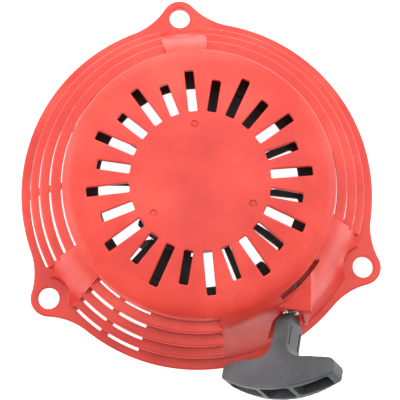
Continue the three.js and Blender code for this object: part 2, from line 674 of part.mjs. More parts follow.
function addMesh(name, geometry, look, parent = starter) {
  const mesh = new THREE.Mesh(geometry, new THREE.MeshStandardMaterial(look));
  mesh.name = name;
  parent.add(mesh);
  return mesh;
}

addMesh('housing', makeHousing(), red);
addMesh('mainspring', makeMainspring(), springSteel);
addMesh('spring_cover', makeSpringCover(), steel);
addMesh('centre_bushing', makeBushing(), brass);
addMesh('reel', makeReel(), black);
addMesh('reel_rim', makeReelRim(), black);
addMesh('rope_wound', makeWoundRope(), rope);

['a', 'b'].forEach((label, k) => {
  const turn = 180 * k;
  addMesh(`pawl_${label}`, toGeometry(placeAtPivot(pawlSolid(), turn)), nylon);
  addMesh(`pawl_pin_${label}`, toGeometry(placeAtPivot(pinSolid(), turn)), steel);
  addMesh(`pawl_spring_${label}`, toGeometry(placeAtPivot(toSolid(pawlSpring()), turn)), springSteel);
});
addMesh('ratchet_guide', makeRatchetGuide(), nylon);
addMesh('brake_spring', makeBrakeSpring(), springSteel);
addMesh('thrust_washer', makeWasher(), steel);
addMesh('centre_screw', makeScrew(), steel);

const reelKnot = addMesh('rope_reel_knot', knotSolid(2.3), rope);
reelKnot.position.set(...polar(KNOT_R, KNOT_ANGLE), KNOT_Z);

// Everything on the pull line hangs in a group that points along it.
const tangentGroup = new THREE.Group();
tangentGroup.applyMatrix4(pullFrame);
const pullGroup = new THREE.Group();
pullGroup.position.set(0, ROPE_LINE_R, ROPE_START_Z);
pullGroup.rotation.y = -PULL_PITCH * DEG;
tangentGroup.add(pullGroup);
starter.add(tangentGroup);

const tipAlong = TIP_REACH / Math.cos(PULL_PITCH * DEG);
const leadStart = 24.5; // clear of the wound turns
const knotRadius = 3;
const knotReach = POCKET_FLOOR + 4.9; // from the stem's tip to the middle of the knot
const leadEnd = knotReach - knotRadius - GAP;
const pastTip = (reach) => [
  tipAlong + reach * Math.cos(HANDLE_TILT * DEG), 0, reach * Math.sin(HANDLE_TILT * DEG),
];
const leadLine = [
  [leadStart, 0, 0], [tipAlong - 12, 0, 0], [tipAlong - 3, 0, 0], pastTip(3), pastTip(12), pastTip(leadEnd),
];
addMesh('rope_lead', wire(leadLine, ROPE_D, 40, 10), rope, pullGroup);

const eyelet = addMesh('rope_eyelet', makeEyelet(), steel, pullGroup);
eyelet.rotation.y = 90 * DEG;
eyelet.position.x = GUIDE_REACH / Math.cos(PULL_PITCH * DEG);

const handleGroup = new THREE.Group();
handleGroup.position.x = tipAlong;
handleGroup.rotation.set(HANDLE_ROLL * DEG, -HANDLE_TILT * DEG, 0, 'YXZ');
pullGroup.add(handleGroup);
addMesh('grip', toGeometry(gripSolid()), grey, handleGroup);
const retainer = addMesh('rope_retainer', toGeometry(tube(2.2, 4.6, -0.6, 0.6, 20)), steel, handleGroup);
retainer.rotation.y = 90 * DEG;
retainer.position.x = POCKET_FLOOR + 0.9;
addMesh('rope_grip_knot', knotSolid(knotRadius), rope, handleGroup).position.x = knotReach;

export default starter;
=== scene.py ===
# Looks of a recoil starter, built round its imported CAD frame.
# Shapes are drawn in millimetres, then scaled to metres.
# Origin: crank axis on the mounting plane. First ear on +Y, +Z out of the top of the cover.
import math

import bpy
import numpy as np
from mathutils import Matrix, Vector


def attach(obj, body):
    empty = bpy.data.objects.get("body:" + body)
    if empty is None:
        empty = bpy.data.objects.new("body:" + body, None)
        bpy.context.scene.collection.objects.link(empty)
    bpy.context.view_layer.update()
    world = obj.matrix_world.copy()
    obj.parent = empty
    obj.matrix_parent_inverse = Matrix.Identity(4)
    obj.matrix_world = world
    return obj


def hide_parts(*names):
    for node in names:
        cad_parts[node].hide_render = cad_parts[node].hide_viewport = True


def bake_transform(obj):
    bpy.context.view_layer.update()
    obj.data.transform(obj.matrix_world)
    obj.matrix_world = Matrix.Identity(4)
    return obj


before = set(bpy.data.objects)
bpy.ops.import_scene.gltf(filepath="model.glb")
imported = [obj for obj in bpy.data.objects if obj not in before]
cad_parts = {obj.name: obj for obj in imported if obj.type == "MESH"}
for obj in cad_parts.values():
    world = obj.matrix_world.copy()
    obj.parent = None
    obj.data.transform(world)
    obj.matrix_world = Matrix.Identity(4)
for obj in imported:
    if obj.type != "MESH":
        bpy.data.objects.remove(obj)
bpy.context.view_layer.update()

MM = 0.001

# ---- driving dimensions, in millimetres ----
ROUND = 288  # steps in a full turn of the large round parts
FINE = 72  # steps in a full turn of the small round parts
RIM_R = 101.0
FLANGE_Z = 5.5
FLANGE_INNER_R = 92.6
WALL = 2.2
EAR_PITCH_R = 103.92
EAR_HOLE_R = 6.0
EAR_R = 10.3
EAR_BLEND_R = 38.0
EAR_RECESS_R = 12.3
EAR_ANGLES = (90, 210, 330)
CROWN_Z = 50.0
CROWN_WALL = 2.5
CROWN_FLAT_R = 30.0  # flat middle, the crown falls away outside it
CROWN_EDGE_R = 64.0
SHOULDER_R = 75.0
STEP_R = (81.7, 88.6, 94.8)
STEP_Z = (36.0, 26.0, 15.8)
STEP_ROUND = 1.3
LOUVRE_WIDTH = (1.1, 1.6, 1.5, 1.6)
SLOT_COUNT = 24
SLOT_WIDTH = 5.0
SLOT_INNER_R = 38.3
SLOT_LONG_R = 61.8
SLOT_SHORT_R = 56.6
SLOT_CORNER = 0.9
DIMPLE_R = 30.9
POST_R = 8.4
POST_END_Z = 12.0
POST_ROOT_Z = 48.4
SCREW_BORE = (2.7, 36.3)  # radius and top of the screw's hole in the post
CUP_R = 37.4
CUP_END_Z = 29.8
REEL_BOTTOM_Z = 7.4
REEL_TOP_Z = 27.0
REEL_HUB_BORE_R = POST_R + 2.3  # clear of the bushing
REEL_HUB_R = 13.4
REEL_HUB_TOP_Z = 44.2
REEL_FLANGE_R = 69.0
REEL_WINDOW_R = 56.3
REEL_WALL_R = 60.8
REEL_DISC_R = 33.5
WEB_LOW_Z = 21.5
WEB_HIGH_Z = 25.5
GROOVE_LOW_Z = 9.0
GROOVE_HIGH_Z = 25.4
GROOVE_R = 62.6
ROPE_D = 3.6
BRAID_PITCH = 3.0
STRANDS = 8
ROPE_LINE_R = 64.4
TANGENT_ANGLE = -18.0
EXIT_ANGLE = -13.2
ROPE_START_Z = 12.4
PULL_PITCH = 13.5
TIP_REACH = 58.8
HANDLE_TILT = 7.5
HANDLE_ROLL = 38.0
GUIDE_REACH = 55.0
EXIT_WALL = (58.6, 61.6)  # inner and outer face of the wall that holds the rope guide
EXIT_SIDES = (50.0, 67.0)  # inner faces of the boss's two side walls
NOTCH_ROOT = (54.2, 64.2)
NOTCH_MOUTH = (50.2, 68.2)
NOTCH_FLARE = 68.0
NOTCH_DROP = (64.4, 56.6, 63.9)  # how far out and between which sides the notch has no floor
NOTCH_FLOOR_Z = 9.0
PAWL_PIVOT_R = 38.0
PAWL_PIVOT_ANGLE = 70.0
PAWL_TIP_R = 44.0
PAWL_TIP_ANGLE = 38.0
PAWL_LOW_Z = 16.6
PAWL_HIGH_Z = 19.3
PAWL_POST_REACH = 10.0
CAM_LOW_Z = 13.2
CAM_HIGH_Z = 15.9
CAM_LOW_R = 30.0
CAM_LOBE_R = (39.6, 36.3)  # start and end of each lobe
PIN_R = 2.4
PIN_BORE_R = 2.7
PIN_ENDS_Z = (16.3, 24.6)
HAIRPIN_Z = (19.95, 21.03)  # wire's middle at the first and the last turn
HAIRPIN_LOOP_R = 3.3
RAMP_SECTORS = ((81.4, 98.6), (201.4, 217.5), (300.0, 339.4))
FRONT_SECTOR = (272.6, 301.0)
SLIT_WIDTH = 2.6  # slit over the rope's duct, at the foot of the shoulder
SLIT_ANGLES = (-60.6, -38.6)
SHELF_ANGLES = ((-61.5, -53.2), (-50.2, -37.8))  # shelf under it, open in the middle
SHELF_SECTION = (73.5, 79.0, 26.9, 28.4)  # its inner and outer radius, bottom and top
REEL_ROOM_R = 72.4  # room for the reel in the exit boss
REEL_ROOM_TOP_Z = 33.8
DUCT_Z = (17.0, 33.6)  # bottom and top of the rope's duct
UNDER_DUCT_Z = (-1.0, 14.6)  # and of the hollow below it
GUIDE_HOLE_R = 4.6
DIMPLE = (0.8, 2.2, 0.9)  # inner radius, outer radius and depth

# A slab drawn on X and Y, stood up: its outline's Y upwards and its thickness along Y, or along X.
THICK_ALONG_Y = Matrix(((1, 0, 0, 0), (0, 0, 1, 0), (0, 1, 0, 0), (0, 0, 0, 1)))
THICK_ALONG_X = Matrix(((0, 0, 1, 0), (1, 0, 0, 0), (0, 1, 0, 0), (0, 0, 0, 1)))


# ---- plain mesh code ----
class Shell:
    """Closed surface as points and faces, before it becomes a Blender object."""

    def __init__(self, points, faces):
        self.points = np.asarray(points, float).reshape(-1, 3)
        self.faces = [tuple(face) for face in faces]
        if self.volume() < 0:
            self.faces = [face[::-1] for face in self.faces]

    def volume(self):
        total = 0.0
        for face in self.faces:
            first = self.points[face[0]]
            for second, third in zip(face[1:-1], face[2:]):
                total += first @ np.cross(self.points[second], self.points[third])
        return total / 6

    def moved(self, matrix):
        turn = np.array(matrix.to_3x3())
        return Shell(self.points @ turn.T + np.array(matrix.translation), self.faces)


def together(shells):
    """One shell of many that don't touch."""
    points, faces, count = [], [], 0
    for shell in shells:
        points.append(shell.points)
        faces += [tuple(i + count for i in face) for face in shell.faces]
        count += len(shell.points)
    return Shell(np.vstack(points), faces)


def polar(radius, degrees):
    angle = math.radians(degrees)
    return (radius * math.cos(angle), radius * math.sin(angle))


def filleted(corners, steps=5):
    """Closed outline from (x, y) or (x, y, radius) corners. A corner with a radius becomes an arc."""
    result = []
    count = len(corners)
    for k, corner in enumerate(corners):
        here = Vector(corner[:2])
        radius = corner[2] if len(corner) > 2 else 0
        before = (Vector(corners[k - 1][:2]) - here)
        after = (Vector(corners[(k + 1) % count][:2]) - here)
        if radius <= 0:
            result.append(tuple(here))
            continue
        a, b = before.normalized(), after.normalized()
        opening = a.angle(b)
        reach = min(radius / math.tan(opening / 2), before.length * 0.49, after.length * 0.49)
        radius = reach * math.tan(opening / 2)
        centre = here + (a + b).normalized() * radius / math.sin(opening / 2)
        start = here + a * reach - centre
        end = here + b * reach - centre
        sweep = start.angle_signed(end)
        for i in range(steps + 1):
            result.append(tuple(centre + Matrix.Rotation(-sweep * i / steps, 2) @ start))
    return result


def lathe(profile, steps=ROUND):
    """Solid of revolution about Z from a closed (radius, z) outline that may lie on the axis."""
    points, rings = [], []
    for radius, z in profile:
        if radius < 1e-6:
            rings.append([len(points)] * steps)
            points.append((0, 0, z))
            continue
        rings.append(list(range(len(points), len(points) + steps)))
        points += [(*polar(radius, 360 * k / steps), z) for k in range(steps)]
    faces = []
    for ring, after in zip(rings, rings[1:] + rings[:1]):
        for k in range(steps):
            face = [ring[k], ring[(k + 1) % steps], after[(k + 1) % steps], after[k]]
            kept = [i for n, i in enumerate(face) if i != face[n - 1]]
            if len(kept) > 2:
                faces.append(kept)
    return Shell(points, faces)


def stack(rings):
    """Solid from rings of points of the same count, capped at both ends."""
    count = len(rings[0])
    points = [point for ring in rings for point in ring]
    faces = [tuple(range(count)), tuple(reversed(range(len(points) - count, len(points))))]
    for level in range(len(rings) - 1):
        low, high = level * count, (level + 1) * count
        for k in range(count):
            after = (k + 1) % count
            faces.append((low + after, low + k, high + k, high + after))
    return Shell(points, faces)


def inset(outline, distance):
    """Closed outline moved inwards, towards its own left-hand side if it runs anticlockwise."""
    pts = np.array(outline, float)
    before, after = np.roll(pts, 1, 0), np.roll(pts, -1, 0)
    first, second = pts - before, after - pts
    first /= np.linalg.norm(first, axis=1)[:, None]
    second /= np.linalg.norm(second, axis=1)[:, None]
    normal = np.stack([-(first[:, 1] + second[:, 1]), first[:, 0] + second[:, 0]], 1)
    length = np.linalg.norm(normal, axis=1)[:, None]
    normal /= length
    stretch = np.clip(2 / np.maximum(length, 0.4), 1, 2.5)
    area = (pts[:, 0] * after[:, 1] - after[:, 0] * pts[:, 1]).sum()
    return pts + normal * stretch * distance * (1 if area > 0 else -1)


def slab(outline, low, high, edge_low=0.0, edge_high=0.0, steps=4):
    """Extruded outline with rounded lower and upper edges."""
    levels = []
    if edge_low > 0:
        for k in range(steps):
            turn = math.radians(90 * k / steps)
            levels.append((low + edge_low * (1 - math.cos(turn)), edge_low * (1 - math.sin(turn))))
    else:
        levels.append((low, 0))
    if edge_low > 0:
        levels.append((low + edge_low, 0))
    if edge_high > 0:
        levels.append((high - edge_high, 0))
        for k in range(1, steps + 1):
            turn = math.radians(90 * k / steps)
            levels.append((high - edge_high * (1 - math.sin(turn)), edge_high * (1 - math.cos(turn))))
    else:
        levels.append((high, 0))
    rings = []
    for z, depth in levels:
        ring = inset(outline, depth) if depth > 0 else np.array(outline, float)
        rings.append([(x, y, z) for x, y in ring])
    return stack(rings)


def box(low, high):
    (x0, y0, z0), (x1, y1, z1) = low, high
    return slab([(x0, y0), (x1, y0), (x1, y1), (x0, y1)], z0, z1)


def rod(radius, low, high, steps=FINE, edge=0.0):
    corners = [(0, low), (radius, low, edge), (radius, high, edge), (0, high)]
    return lathe(filleted(corners, 4), steps)


def ring(inner, outer, low, high, steps=ROUND, edge=0.0):
    corners = [(inner, low, edge), (outer, low, edge), (outer, high, edge), (inner, high, edge)]
    return lathe(filleted(corners, 3), steps)


def wedge(start, end, low, high, reach=150.0):
    count = max(1, math.ceil((end - start) / 10))
    arc = [polar(reach, start + (end - start) * k / count) for k in range(count + 1)]
    return slab([(0, 0), *arc], low, high)


def arc_slot(inner, outer, start, end, low, high, corner=0.5, step=1.0):
    """Cutter for a curved slit with rounded ends."""
    middle = (inner + outer) / 2
    count = max(2, math.ceil((end - start) / step))
    bite = math.degrees(corner / middle)
    outline = []
    for radius, sign in ((outer, 1), (inner, -1)):
        span = [start + (end - start) * k / count for k in range(count + 1)]
        span[0] += bite
        span[-1] -= bite
        points = [polar(radius, a) for a in span]
        outline += points if sign > 0 else points[::-1]
        last = end if sign > 0 else start
        for share in (0.7, -0.7):
            outline.append(polar(middle + sign * share * (outer - inner) / 2, last))
    return slab(outline, low, high)


def turn_z(degrees):
    return Matrix.Rotation(math.radians(degrees), 4, "Z")


def shift(x, y, z):
    return Matrix.Translation((x, y, z))


def tube_mesh(path, radius, sides=14, closed=False):
    """Round rope or wire along points, with its ends closed. radius may be one number or one a point."""
    path = np.array(path, float)
    radii = np.full(len(path), radius) if np.isscalar(radius) else np.array(radius, float)
    ahead = np.roll(path, -1, 0) - np.roll(path, 1, 0)
    if not closed:
        ahead[0], ahead[-1] = path[1] - path[0], path[-1] - path[-2]
    ahead /= np.linalg.norm(ahead, axis=1)[:, None]
    side = np.cross(ahead[0], (0, 0, 1) if abs(ahead[0][2]) < 0.9 else (1, 0, 0))
    rings = []
    for point, direction, size in zip(path, ahead, radii):
        side = side - direction * (side @ direction)
        side /= np.linalg.norm(side)
        up = np.cross(direction, side)
        turns = [2 * math.pi * k / sides for k in range(sides)]
        rings.append([tuple(point + size * (math.cos(a) * side + math.sin(a) * up)) for a in turns])
    return stack(rings)


# ---- Blender objects and booleans ----
def to_object(shell, name="work"):
    mesh = bpy.data.meshes.new(name)
    mesh.from_pydata([tuple(p) for p in shell.points], [], shell.faces)
    mesh.validate()
    thing = bpy.data.objects.new(name, mesh)
    bpy.context.scene.collection.objects.link(thing)
    return thing


def discard(thing):
    mesh = thing.data
    bpy.data.objects.remove(thing)
    bpy.data.meshes.remove(mesh)


def bake_modifiers(thing):
    graph = bpy.context.evaluated_depsgraph_get()
    mesh = bpy.data.meshes.new_from_object(thing.evaluated_get(graph))
    old = thing.data
    thing.modifiers.clear()
    thing.data = mesh
    bpy.data.meshes.remove(old)


def combine(thing, other, operation):
    if isinstance(other, Shell):
        other = to_object(other)
    step = thing.modifiers.new("step", "BOOLEAN")
    step.solver = "MANIFOLD"
    step.operation = operation
    step.object = other
    bake_modifiers(thing)
    discard(other)
    if not thing.data.polygons:
        raise ValueError(f"boolean {operation} on {thing.name} left nothing")
    return thing


def add(thing, *others):
    for other in others:
        combine(thing, other, "UNION")
    return thing


def cut(thing, *others):
    for other in others:
        combine(thing, other, "DIFFERENCE")
    return thing


def meet(thing, other):
    return combine(thing, other, "INTERSECT")


def finish_piece(thing, name, body, material, replaced=(), sharp=32.0, weighted=True):
    """Scales a piece to metres, sets its shading, and fastens it to its CAD body."""
    thing.name = name
    mesh = thing.data
    mesh.transform(Matrix.Scale(MM, 4))
    mesh.name = name
    mesh.polygons.foreach_set("use_smooth", [True] * len(mesh.polygons))
    mesh.set_sharp_from_angle(angle=math.radians(sharp))
    if weighted:
        step = thing.modifiers.new("normals", "WEIGHTED_NORMAL")
        step.keep_sharp = True
        step.weight = 50
        bake_modifiers(thing)
    thing.data.materials.clear()
    thing.data.materials.append(material)
    if body:
        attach(thing, body)
    if replaced:
        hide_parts(*replaced)
    return thing


# ---- materials ----
def srgb(red, green, blue):
    def linear(value):
        value /= 255
        return value / 12.92 if value <= 0.04045 else ((value + 0.055) / 1.055) ** 2.4

    return (linear(red), linear(green), linear(blue), 1.0)


class Paint:
    """Small helper that builds a node material step by step."""

    def __init__(self, name, rough, metallic=0.0, specular=0.5):
        self.material = bpy.data.materials.new(name)
        self.material.use_nodes = True
        self.tree = self.material.node_tree
        self.tree.nodes.clear()
        self.out = self.tree.nodes.new("ShaderNodeOutputMaterial")
        self.shader = self.tree.nodes.new("ShaderNodeBsdfPrincipled")
        self.shader.inputs["Roughness"].default_value = rough
        self.shader.inputs["Metallic"].default_value = metallic
        self.shader.inputs["Specular IOR Level"].default_value = specular
        self.link(self.shader.outputs[0], self.out.inputs[0])
        self.place = self.tree.nodes.new("ShaderNodeTexCoord").outputs["Object"]

    def link(self, a, b):
        self.tree.links.new(a, b)

    def noise(self, scale, detail=3.0, rough=0.55, stretch=None):
        node = self.tree.nodes.new("ShaderNodeTexNoise")
        node.inputs["Scale"].default_value = scale
        node.inputs["Detail"].default_value = detail
        node.inputs["Roughness"].default_value = rough
        source = self.place
        if stretch:
            source = self.mapped(stretch)
        self.link(source, node.inputs["Vector"])
        return node.outputs["Fac"]

    def mapped(self, stretch):
        node = self.tree.nodes.new("ShaderNodeMapping")
        node.inputs["Scale"].default_value = stretch
        self.link(self.place, node.inputs["Vector"])
        return node.outputs["Vector"]

    def ramp(self, source, stops):
        node = self.tree.nodes.new("ShaderNodeValToRGB")
        ramp = node.color_ramp
        while len(ramp.elements) < len(stops):
            ramp.elements.new(0.5)
        for element, (position, colour) in zip(ramp.elements, stops):
            element.position = position
            element.color = colour if hasattr(colour, "__len__") else (colour, colour, colour, 1)
        self.link(source, node.inputs["Fac"])
        return node.outputs["Color"]

    def mix(self, first, second, amount, mode="MIX"):
        node = self.tree.nodes.new("ShaderNodeMix")
        node.data_type = "RGBA"
        node.blend_type = mode
        for socket, value in ((node.inputs[6], first), (node.inputs[7], second), (node.inputs[0], amount)):
            if hasattr(value, "is_linked"):
                self.link(value, socket)
            else:
                socket.default_value = value
        return node.outputs[2]

    def maths(self, operation, *values):
        node = self.tree.nodes.new("ShaderNodeMath")
        node.operation = operation
        for socket, value in zip(node.inputs, values):
            if hasattr(value, "is_linked"):
                self.link(value, socket)
            else:
                socket.default_value = value
        return node.outputs[0]

    def bump(self, height, strength, distance, before=None):
        node = self.tree.nodes.new("ShaderNodeBump")
        node.inputs["Strength"].default_value = strength
        node.inputs["Distance"].default_value = distance
        self.link(height, node.inputs["Height"])
        if before is not None:
            self.link(before, node.inputs["Normal"])
        return node.outputs["Normal"]

    def use(self, colour=None, rough=None, normal=None):
        for name, value in (("Base Color", colour), ("Roughness", rough), ("Normal", normal)):
            if value is not None:
                self.link(value, self.shader.inputs[name])
        return self.material


def moulded_plastic(name, base, light, dark, rough, grain, grain_depth, specular=0.5):
    """Injection-moulded plastic: fine spark-eroded grain, cloudy gloss, faint flow marks and small scuffs."""
    paint = Paint(name, rough, specular=specular)
    cloud = paint.noise(28, 4)
    colour = paint.ramp(cloud, [(0.32, dark), (0.5, base), (0.68, light)])
    flow = paint.noise(60, 2, stretch=(1, 0.25, 1))
    colour = paint.mix(colour, light, paint.ramp(flow, [(0.62, 0.0), (0.8, 0.16)]))
    speck = paint.noise(1900, 1)
    colour = paint.mix(colour, dark, paint.ramp(speck, [(0.66, 0.0), (0.74, 0.18)]))
    gloss = paint.ramp(paint.noise(90, 5), [(0.3, rough - 0.05), (0.7, rough + 0.06)])
    scratch = paint.noise(240, 3, stretch=(1, 0.06, 0.5))
    gloss = paint.mix(gloss, (rough + 0.2,) * 3 + (1,), paint.ramp(scratch, [(0.66, 0.0), (0.72, 0.7)]))
    fine = paint.bump(paint.noise(grain, 2), 0.22, grain_depth)
    wave = paint.bump(paint.noise(36, 2), 0.12, 0.0006, fine)
    return paint.use(colour, gloss, wave)


def zinc_plate(name, base, light, dark, rough):
    """Plated steel: crystalline mottle, drawn marks and stains."""
    paint = Paint(name, rough, metallic=1.0)
    colour = paint.ramp(paint.noise(120, 5), [(0.3, dark), (0.5, base), (0.7, light)])
    drawn = paint.noise(900, 2, stretch=(1, 1, 0.08))
    gloss = paint.ramp(drawn, [(0.35, rough - 0.08), (0.65, rough + 0.14)])
    normal = paint.bump(paint.noise(2600, 2), 0.2, 0.00003)
    return paint.use(colour, gloss, normal)


def rope_cover(name, line=None):
    """Braided polyester: crossing strands, laid by the tube's UV map or along a line in space."""
    paint = Paint(name, 0.85, specular=0.25)
    split = paint.tree.nodes.new("ShaderNodeSeparateXYZ")
    if line is None:
        uv = paint.tree.nodes.new("ShaderNodeUVMap")
        uv.uv_map = "UVMap"
        paint.link(uv.outputs[0], split.inputs[0])
        around, along = split.outputs[0], split.outputs[1]
    else:
        back = line.inverted()
        place = paint.tree.nodes.new("ShaderNodeMapping")
        place.inputs["Location"].default_value = back.translation * MM
        place.inputs["Rotation"].default_value = back.to_euler()
        paint.link(paint.place, place.inputs["Vector"])
        paint.link(place.outputs[0], split.inputs[0])
        turn = paint.maths("ARCTAN2", split.outputs[2], split.outputs[1])
        around = paint.maths("DIVIDE", turn, 2 * math.pi)
        along = paint.maths("DIVIDE", split.outputs[0], BRAID_PITCH * MM)
    first = paint.maths("ADD", paint.maths("MULTIPLY", around, STRANDS), along)
    second = paint.maths("SUBTRACT", paint.maths("MULTIPLY", around, STRANDS), along)
    hills = [paint.maths("PINGPONG", value, 0.5) for value in (first, second)]
    weave = paint.maths("MAXIMUM", *hills)
    height = paint.maths("POWER", paint.maths("MULTIPLY", weave, 2.0), 0.6)
    fibre = paint.noise(5200, 2)
    # Colour follows the weave: painted shade, darker in the crevices between the strands and lighter on the
    # strand tops.
    crevice_shade_stops = [(0.22, srgb(120, 116, 108)), (0.4, srgb(206, 202, 194)), (0.5, srgb(232, 230, 224))]
    colour = paint.ramp(weave, crevice_shade_stops)
    dirt = paint.ramp(paint.noise(70, 3), [(0.55, 0.0), (0.75, 0.45)])
    colour = paint.mix(colour, srgb(150, 140, 126), dirt)
    normal = paint.bump(fibre, 0.35, 0.00008, paint.bump(height, 0.9, 0.0004))
    paint.shader.inputs["Sheen Weight"].default_value = 0.3
    return paint.use(colour, None, normal)


RED = moulded_plastic(
    "red_plastic", srgb(208, 53, 39), srgb(219, 68, 53), srgb(194, 43, 32), 0.42, 1500, 0.00005, 0.5
)
GREY = moulded_plastic(
    "grip_plastic", srgb(72, 73, 76), srgb(86, 87, 90), srgb(56, 57, 60), 0.5, 1200, 0.00012, 0.4
)
BLACK = moulded_plastic(
    "reel_plastic", srgb(26, 26, 29), srgb(38, 38, 42), srgb(17, 17, 19), 0.5, 1300, 0.00008, 0.4
)
NYLON = moulded_plastic(
    "pawl_plastic", srgb(112, 114, 118), srgb(128, 130, 134), srgb(92, 94, 98), 0.5, 1300, 0.00006, 0.4
)
ZINC = zinc_plate("zinc_steel", (0.62, 0.63, 0.65, 1), (0.74, 0.74, 0.73, 1), (0.48, 0.49, 0.52, 1), 0.32)
SPRING = zinc_plate("spring_steel", (0.20, 0.21, 0.25, 1), (0.30, 0.31, 0.36, 1), (0.12, 0.12, 0.15, 1), 0.3)
BRONZE = zinc_plate("bronze", (0.62, 0.43, 0.20, 1), (0.74, 0.55, 0.29, 1), (0.45, 0.30, 0.14, 1), 0.38)
ROPE = rope_cover("rope")


# ---- pull line: X along the pull, Y away from the crank axis, Z up ----
def facing(degrees):
    x, y = polar(1, degrees)
    return Matrix(((y, x, 0, 0), (-x, y, 0, 0), (0, 0, 1, 0), (0, 0, 0, 1)))


Z_TO_X = Matrix.Rotation(math.radians(90), 4, "Y")
EXIT = facing(EXIT_ANGLE)
PULL = facing(TANGENT_ANGLE) @ shift(0, ROPE_LINE_R, ROPE_START_Z)
PULL = PULL @ Matrix.Rotation(math.radians(-PULL_PITCH), 4, "Y")
TIP_ALONG = TIP_REACH / math.cos(math.radians(PULL_PITCH))
GUIDE_ALONG = GUIDE_REACH / math.cos(math.radians(PULL_PITCH))
HANDLE = PULL @ shift(TIP_ALONG, 0, 0) @ Matrix.Rotation(math.radians(-HANDLE_TILT), 4, "Y")
HANDLE = HANDLE @ Matrix.Rotation(math.radians(HANDLE_ROLL), 4, "X")
STRAIGHT_ROPE = rope_cover("straight_rope", PULL)


# ---- housing ----
def crown_height(radius):
    return CROWN_Z - 0.052 * max(radius - CROWN_FLAT_R, 0) ** 1.25


def bezier(a, b, c, d, steps):
    points = []
    for k in range(1, steps + 1):
        t = k / steps
        s = 1 - t
        points.append(tuple(
            s**3 * p + 3 * s * s * t * q + 3 * s * t * t * r + t**3 * w for p, q, r, w in zip(a, b, c, d)
        ))
    return points


CROWN_EDGE = (CROWN_EDGE_R, crown_height(CROWN_EDGE_R))
SHOULDER_CURVE = bezier(CROWN_EDGE, (70.5, 44.7), (75.0, 43.6), (SHOULDER_R, 39.6), 14)
SHOULDER_CURVE += [(SHOULDER_R, STEP_Z[0])]
INNER_SHOULDER = bezier((CROWN_EDGE_R, 43.2), (69.4, 42.4), (72.8, 41.2), (SHOULDER_R - WALL, 37.8), 8)
INNER_SHOULDER += [(SHOULDER_R - WALL, STEP_Z[0] - WALL)]


def crown_solid():
    outer = [(r, crown_height(r)) for r in np.linspace(0, 60, 16)] + [CROWN_EDGE]
    inner = [(r, z - CROWN_WALL) for r, z in reversed(outer)]
    profile = outer + SHOULDER_CURVE + [(SHOULDER_R, STEP_Z[0] - WALL)] + INNER_SHOULDER[::-1] + inner
    return lathe(profile)


def staircase_solid():
    outer = [(SHOULDER_R - 0.6, STEP_Z[0])]
    inner = [(SHOULDER_R - 0.6, STEP_Z[0] - WALL)]
    for k, face in enumerate(STEP_R):
        foot = STEP_Z[k + 1] if k < 2 else FLANGE_Z - 0.5
        outer += [(face - 0.12, STEP_Z[k], STEP_ROUND), (face, foot, 0.35 if k < 2 else 0)]
        inner_foot = foot - WALL if k < 2 else 0
        inner += [(face - WALL, STEP_Z[k] - WALL, 0.5), (face - WALL, inner_foot)]
    return lathe(filleted(outer + [(STEP_R[2], 0)] + inner[::-1], 5))


def ramp_solid(line, inside):
    return lathe([*line, (line[-1][0], 0), *reversed(inside)])


RAMP_INSIDE = [(71.4, 40.2), (79.4, 34.0), (91.2, 14.8), (FLANGE_INNER_R, 0)]
RAMP_LINE = [(70.0, 43.9)] + bezier((70.0, 43.9), (75.0, 42.4), (79.2, 38.6), (82.5, 33.6), 8)
RAMP_LINE += bezier((82.5, 33.6), (87.2, 26.4), (89.8, 19.6), (91.7, 14.4), 8)
RAMP_LINE += bezier((91.7, 14.4), (93.0, 10.8), (94.6, 6.2), (98.6, 5.0), 10)
FRONT_INSIDE = [(71.4, 40.2), (78.2, 33.0), (86.0, 15.0), (91.2, 6.5), (FLANGE_INNER_R, 0)]
FRONT_LINE = [(70.0, 43.9)] + bezier((70.0, 43.9), (75.8, 42.4), (78.8, 38.6), (81.0, 33.0), 8)
FRONT_LINE += bezier((81.0, 33.0), (84.8, 22.0), (88.5, 13.0), (96.6, 5.0), 12)


def flange_outline():
    reach = RIM_R + EAR_BLEND_R
    far = EAR_BLEND_R + EAR_R
    cosine = (reach**2 + EAR_PITCH_R**2 - far**2) / (2 * reach * EAR_PITCH_R)
    spread = math.degrees(math.acos(cosine))
    points = []
    for k, angle in enumerate(EAR_ANGLES):
        ear = polar(EAR_PITCH_R, angle)
        before = polar(reach, angle - spread)
        after = polar(reach, angle + spread)
        to_ear = math.degrees(math.atan2(ear[1] - before[1], ear[0] - before[0]))
        from_rim = angle - spread + 180
        turn_in = ((to_ear - from_rim + 540) % 360) - 180
        blend_steps = 14
        for i in range(blend_steps + 1):
            x, y = polar(EAR_BLEND_R, from_rim + turn_in * i / blend_steps)
            points.append((before[0] + x, before[1] + y))
        half = (angle - to_ear - 180) % 360
        lobe_steps = 40
        for i in range(1, lobe_steps):
            x, y = polar(EAR_R, angle - half + 2 * half * i / lobe_steps)
            points.append((ear[0] + x, ear[1] + y))
        for i in range(blend_steps, -1, -1):
            x, y = polar(EAR_BLEND_R, angle + spread + 180 - turn_in * i / blend_steps)
            points.append((after[0] + x, after[1] + y))
        start = angle + spread
        end = EAR_ANGLES[(k + 1) % 3] + (360 if k == 2 else 0) - spread
        points += [polar(RIM_R, start + (end - start) * i / 90) for i in range(1, 90)]
    return points


def flange_solid():
    plate = to_object(slab(flange_outline(), 0, FLANGE_Z, 0.5, 1.1, 5))
    hollow = lathe(filleted([(0, -1), (FLANGE_INNER_R, -1), (FLANGE_INNER_R, 8), (0, 8)]))
    return cut(plate, hollow)


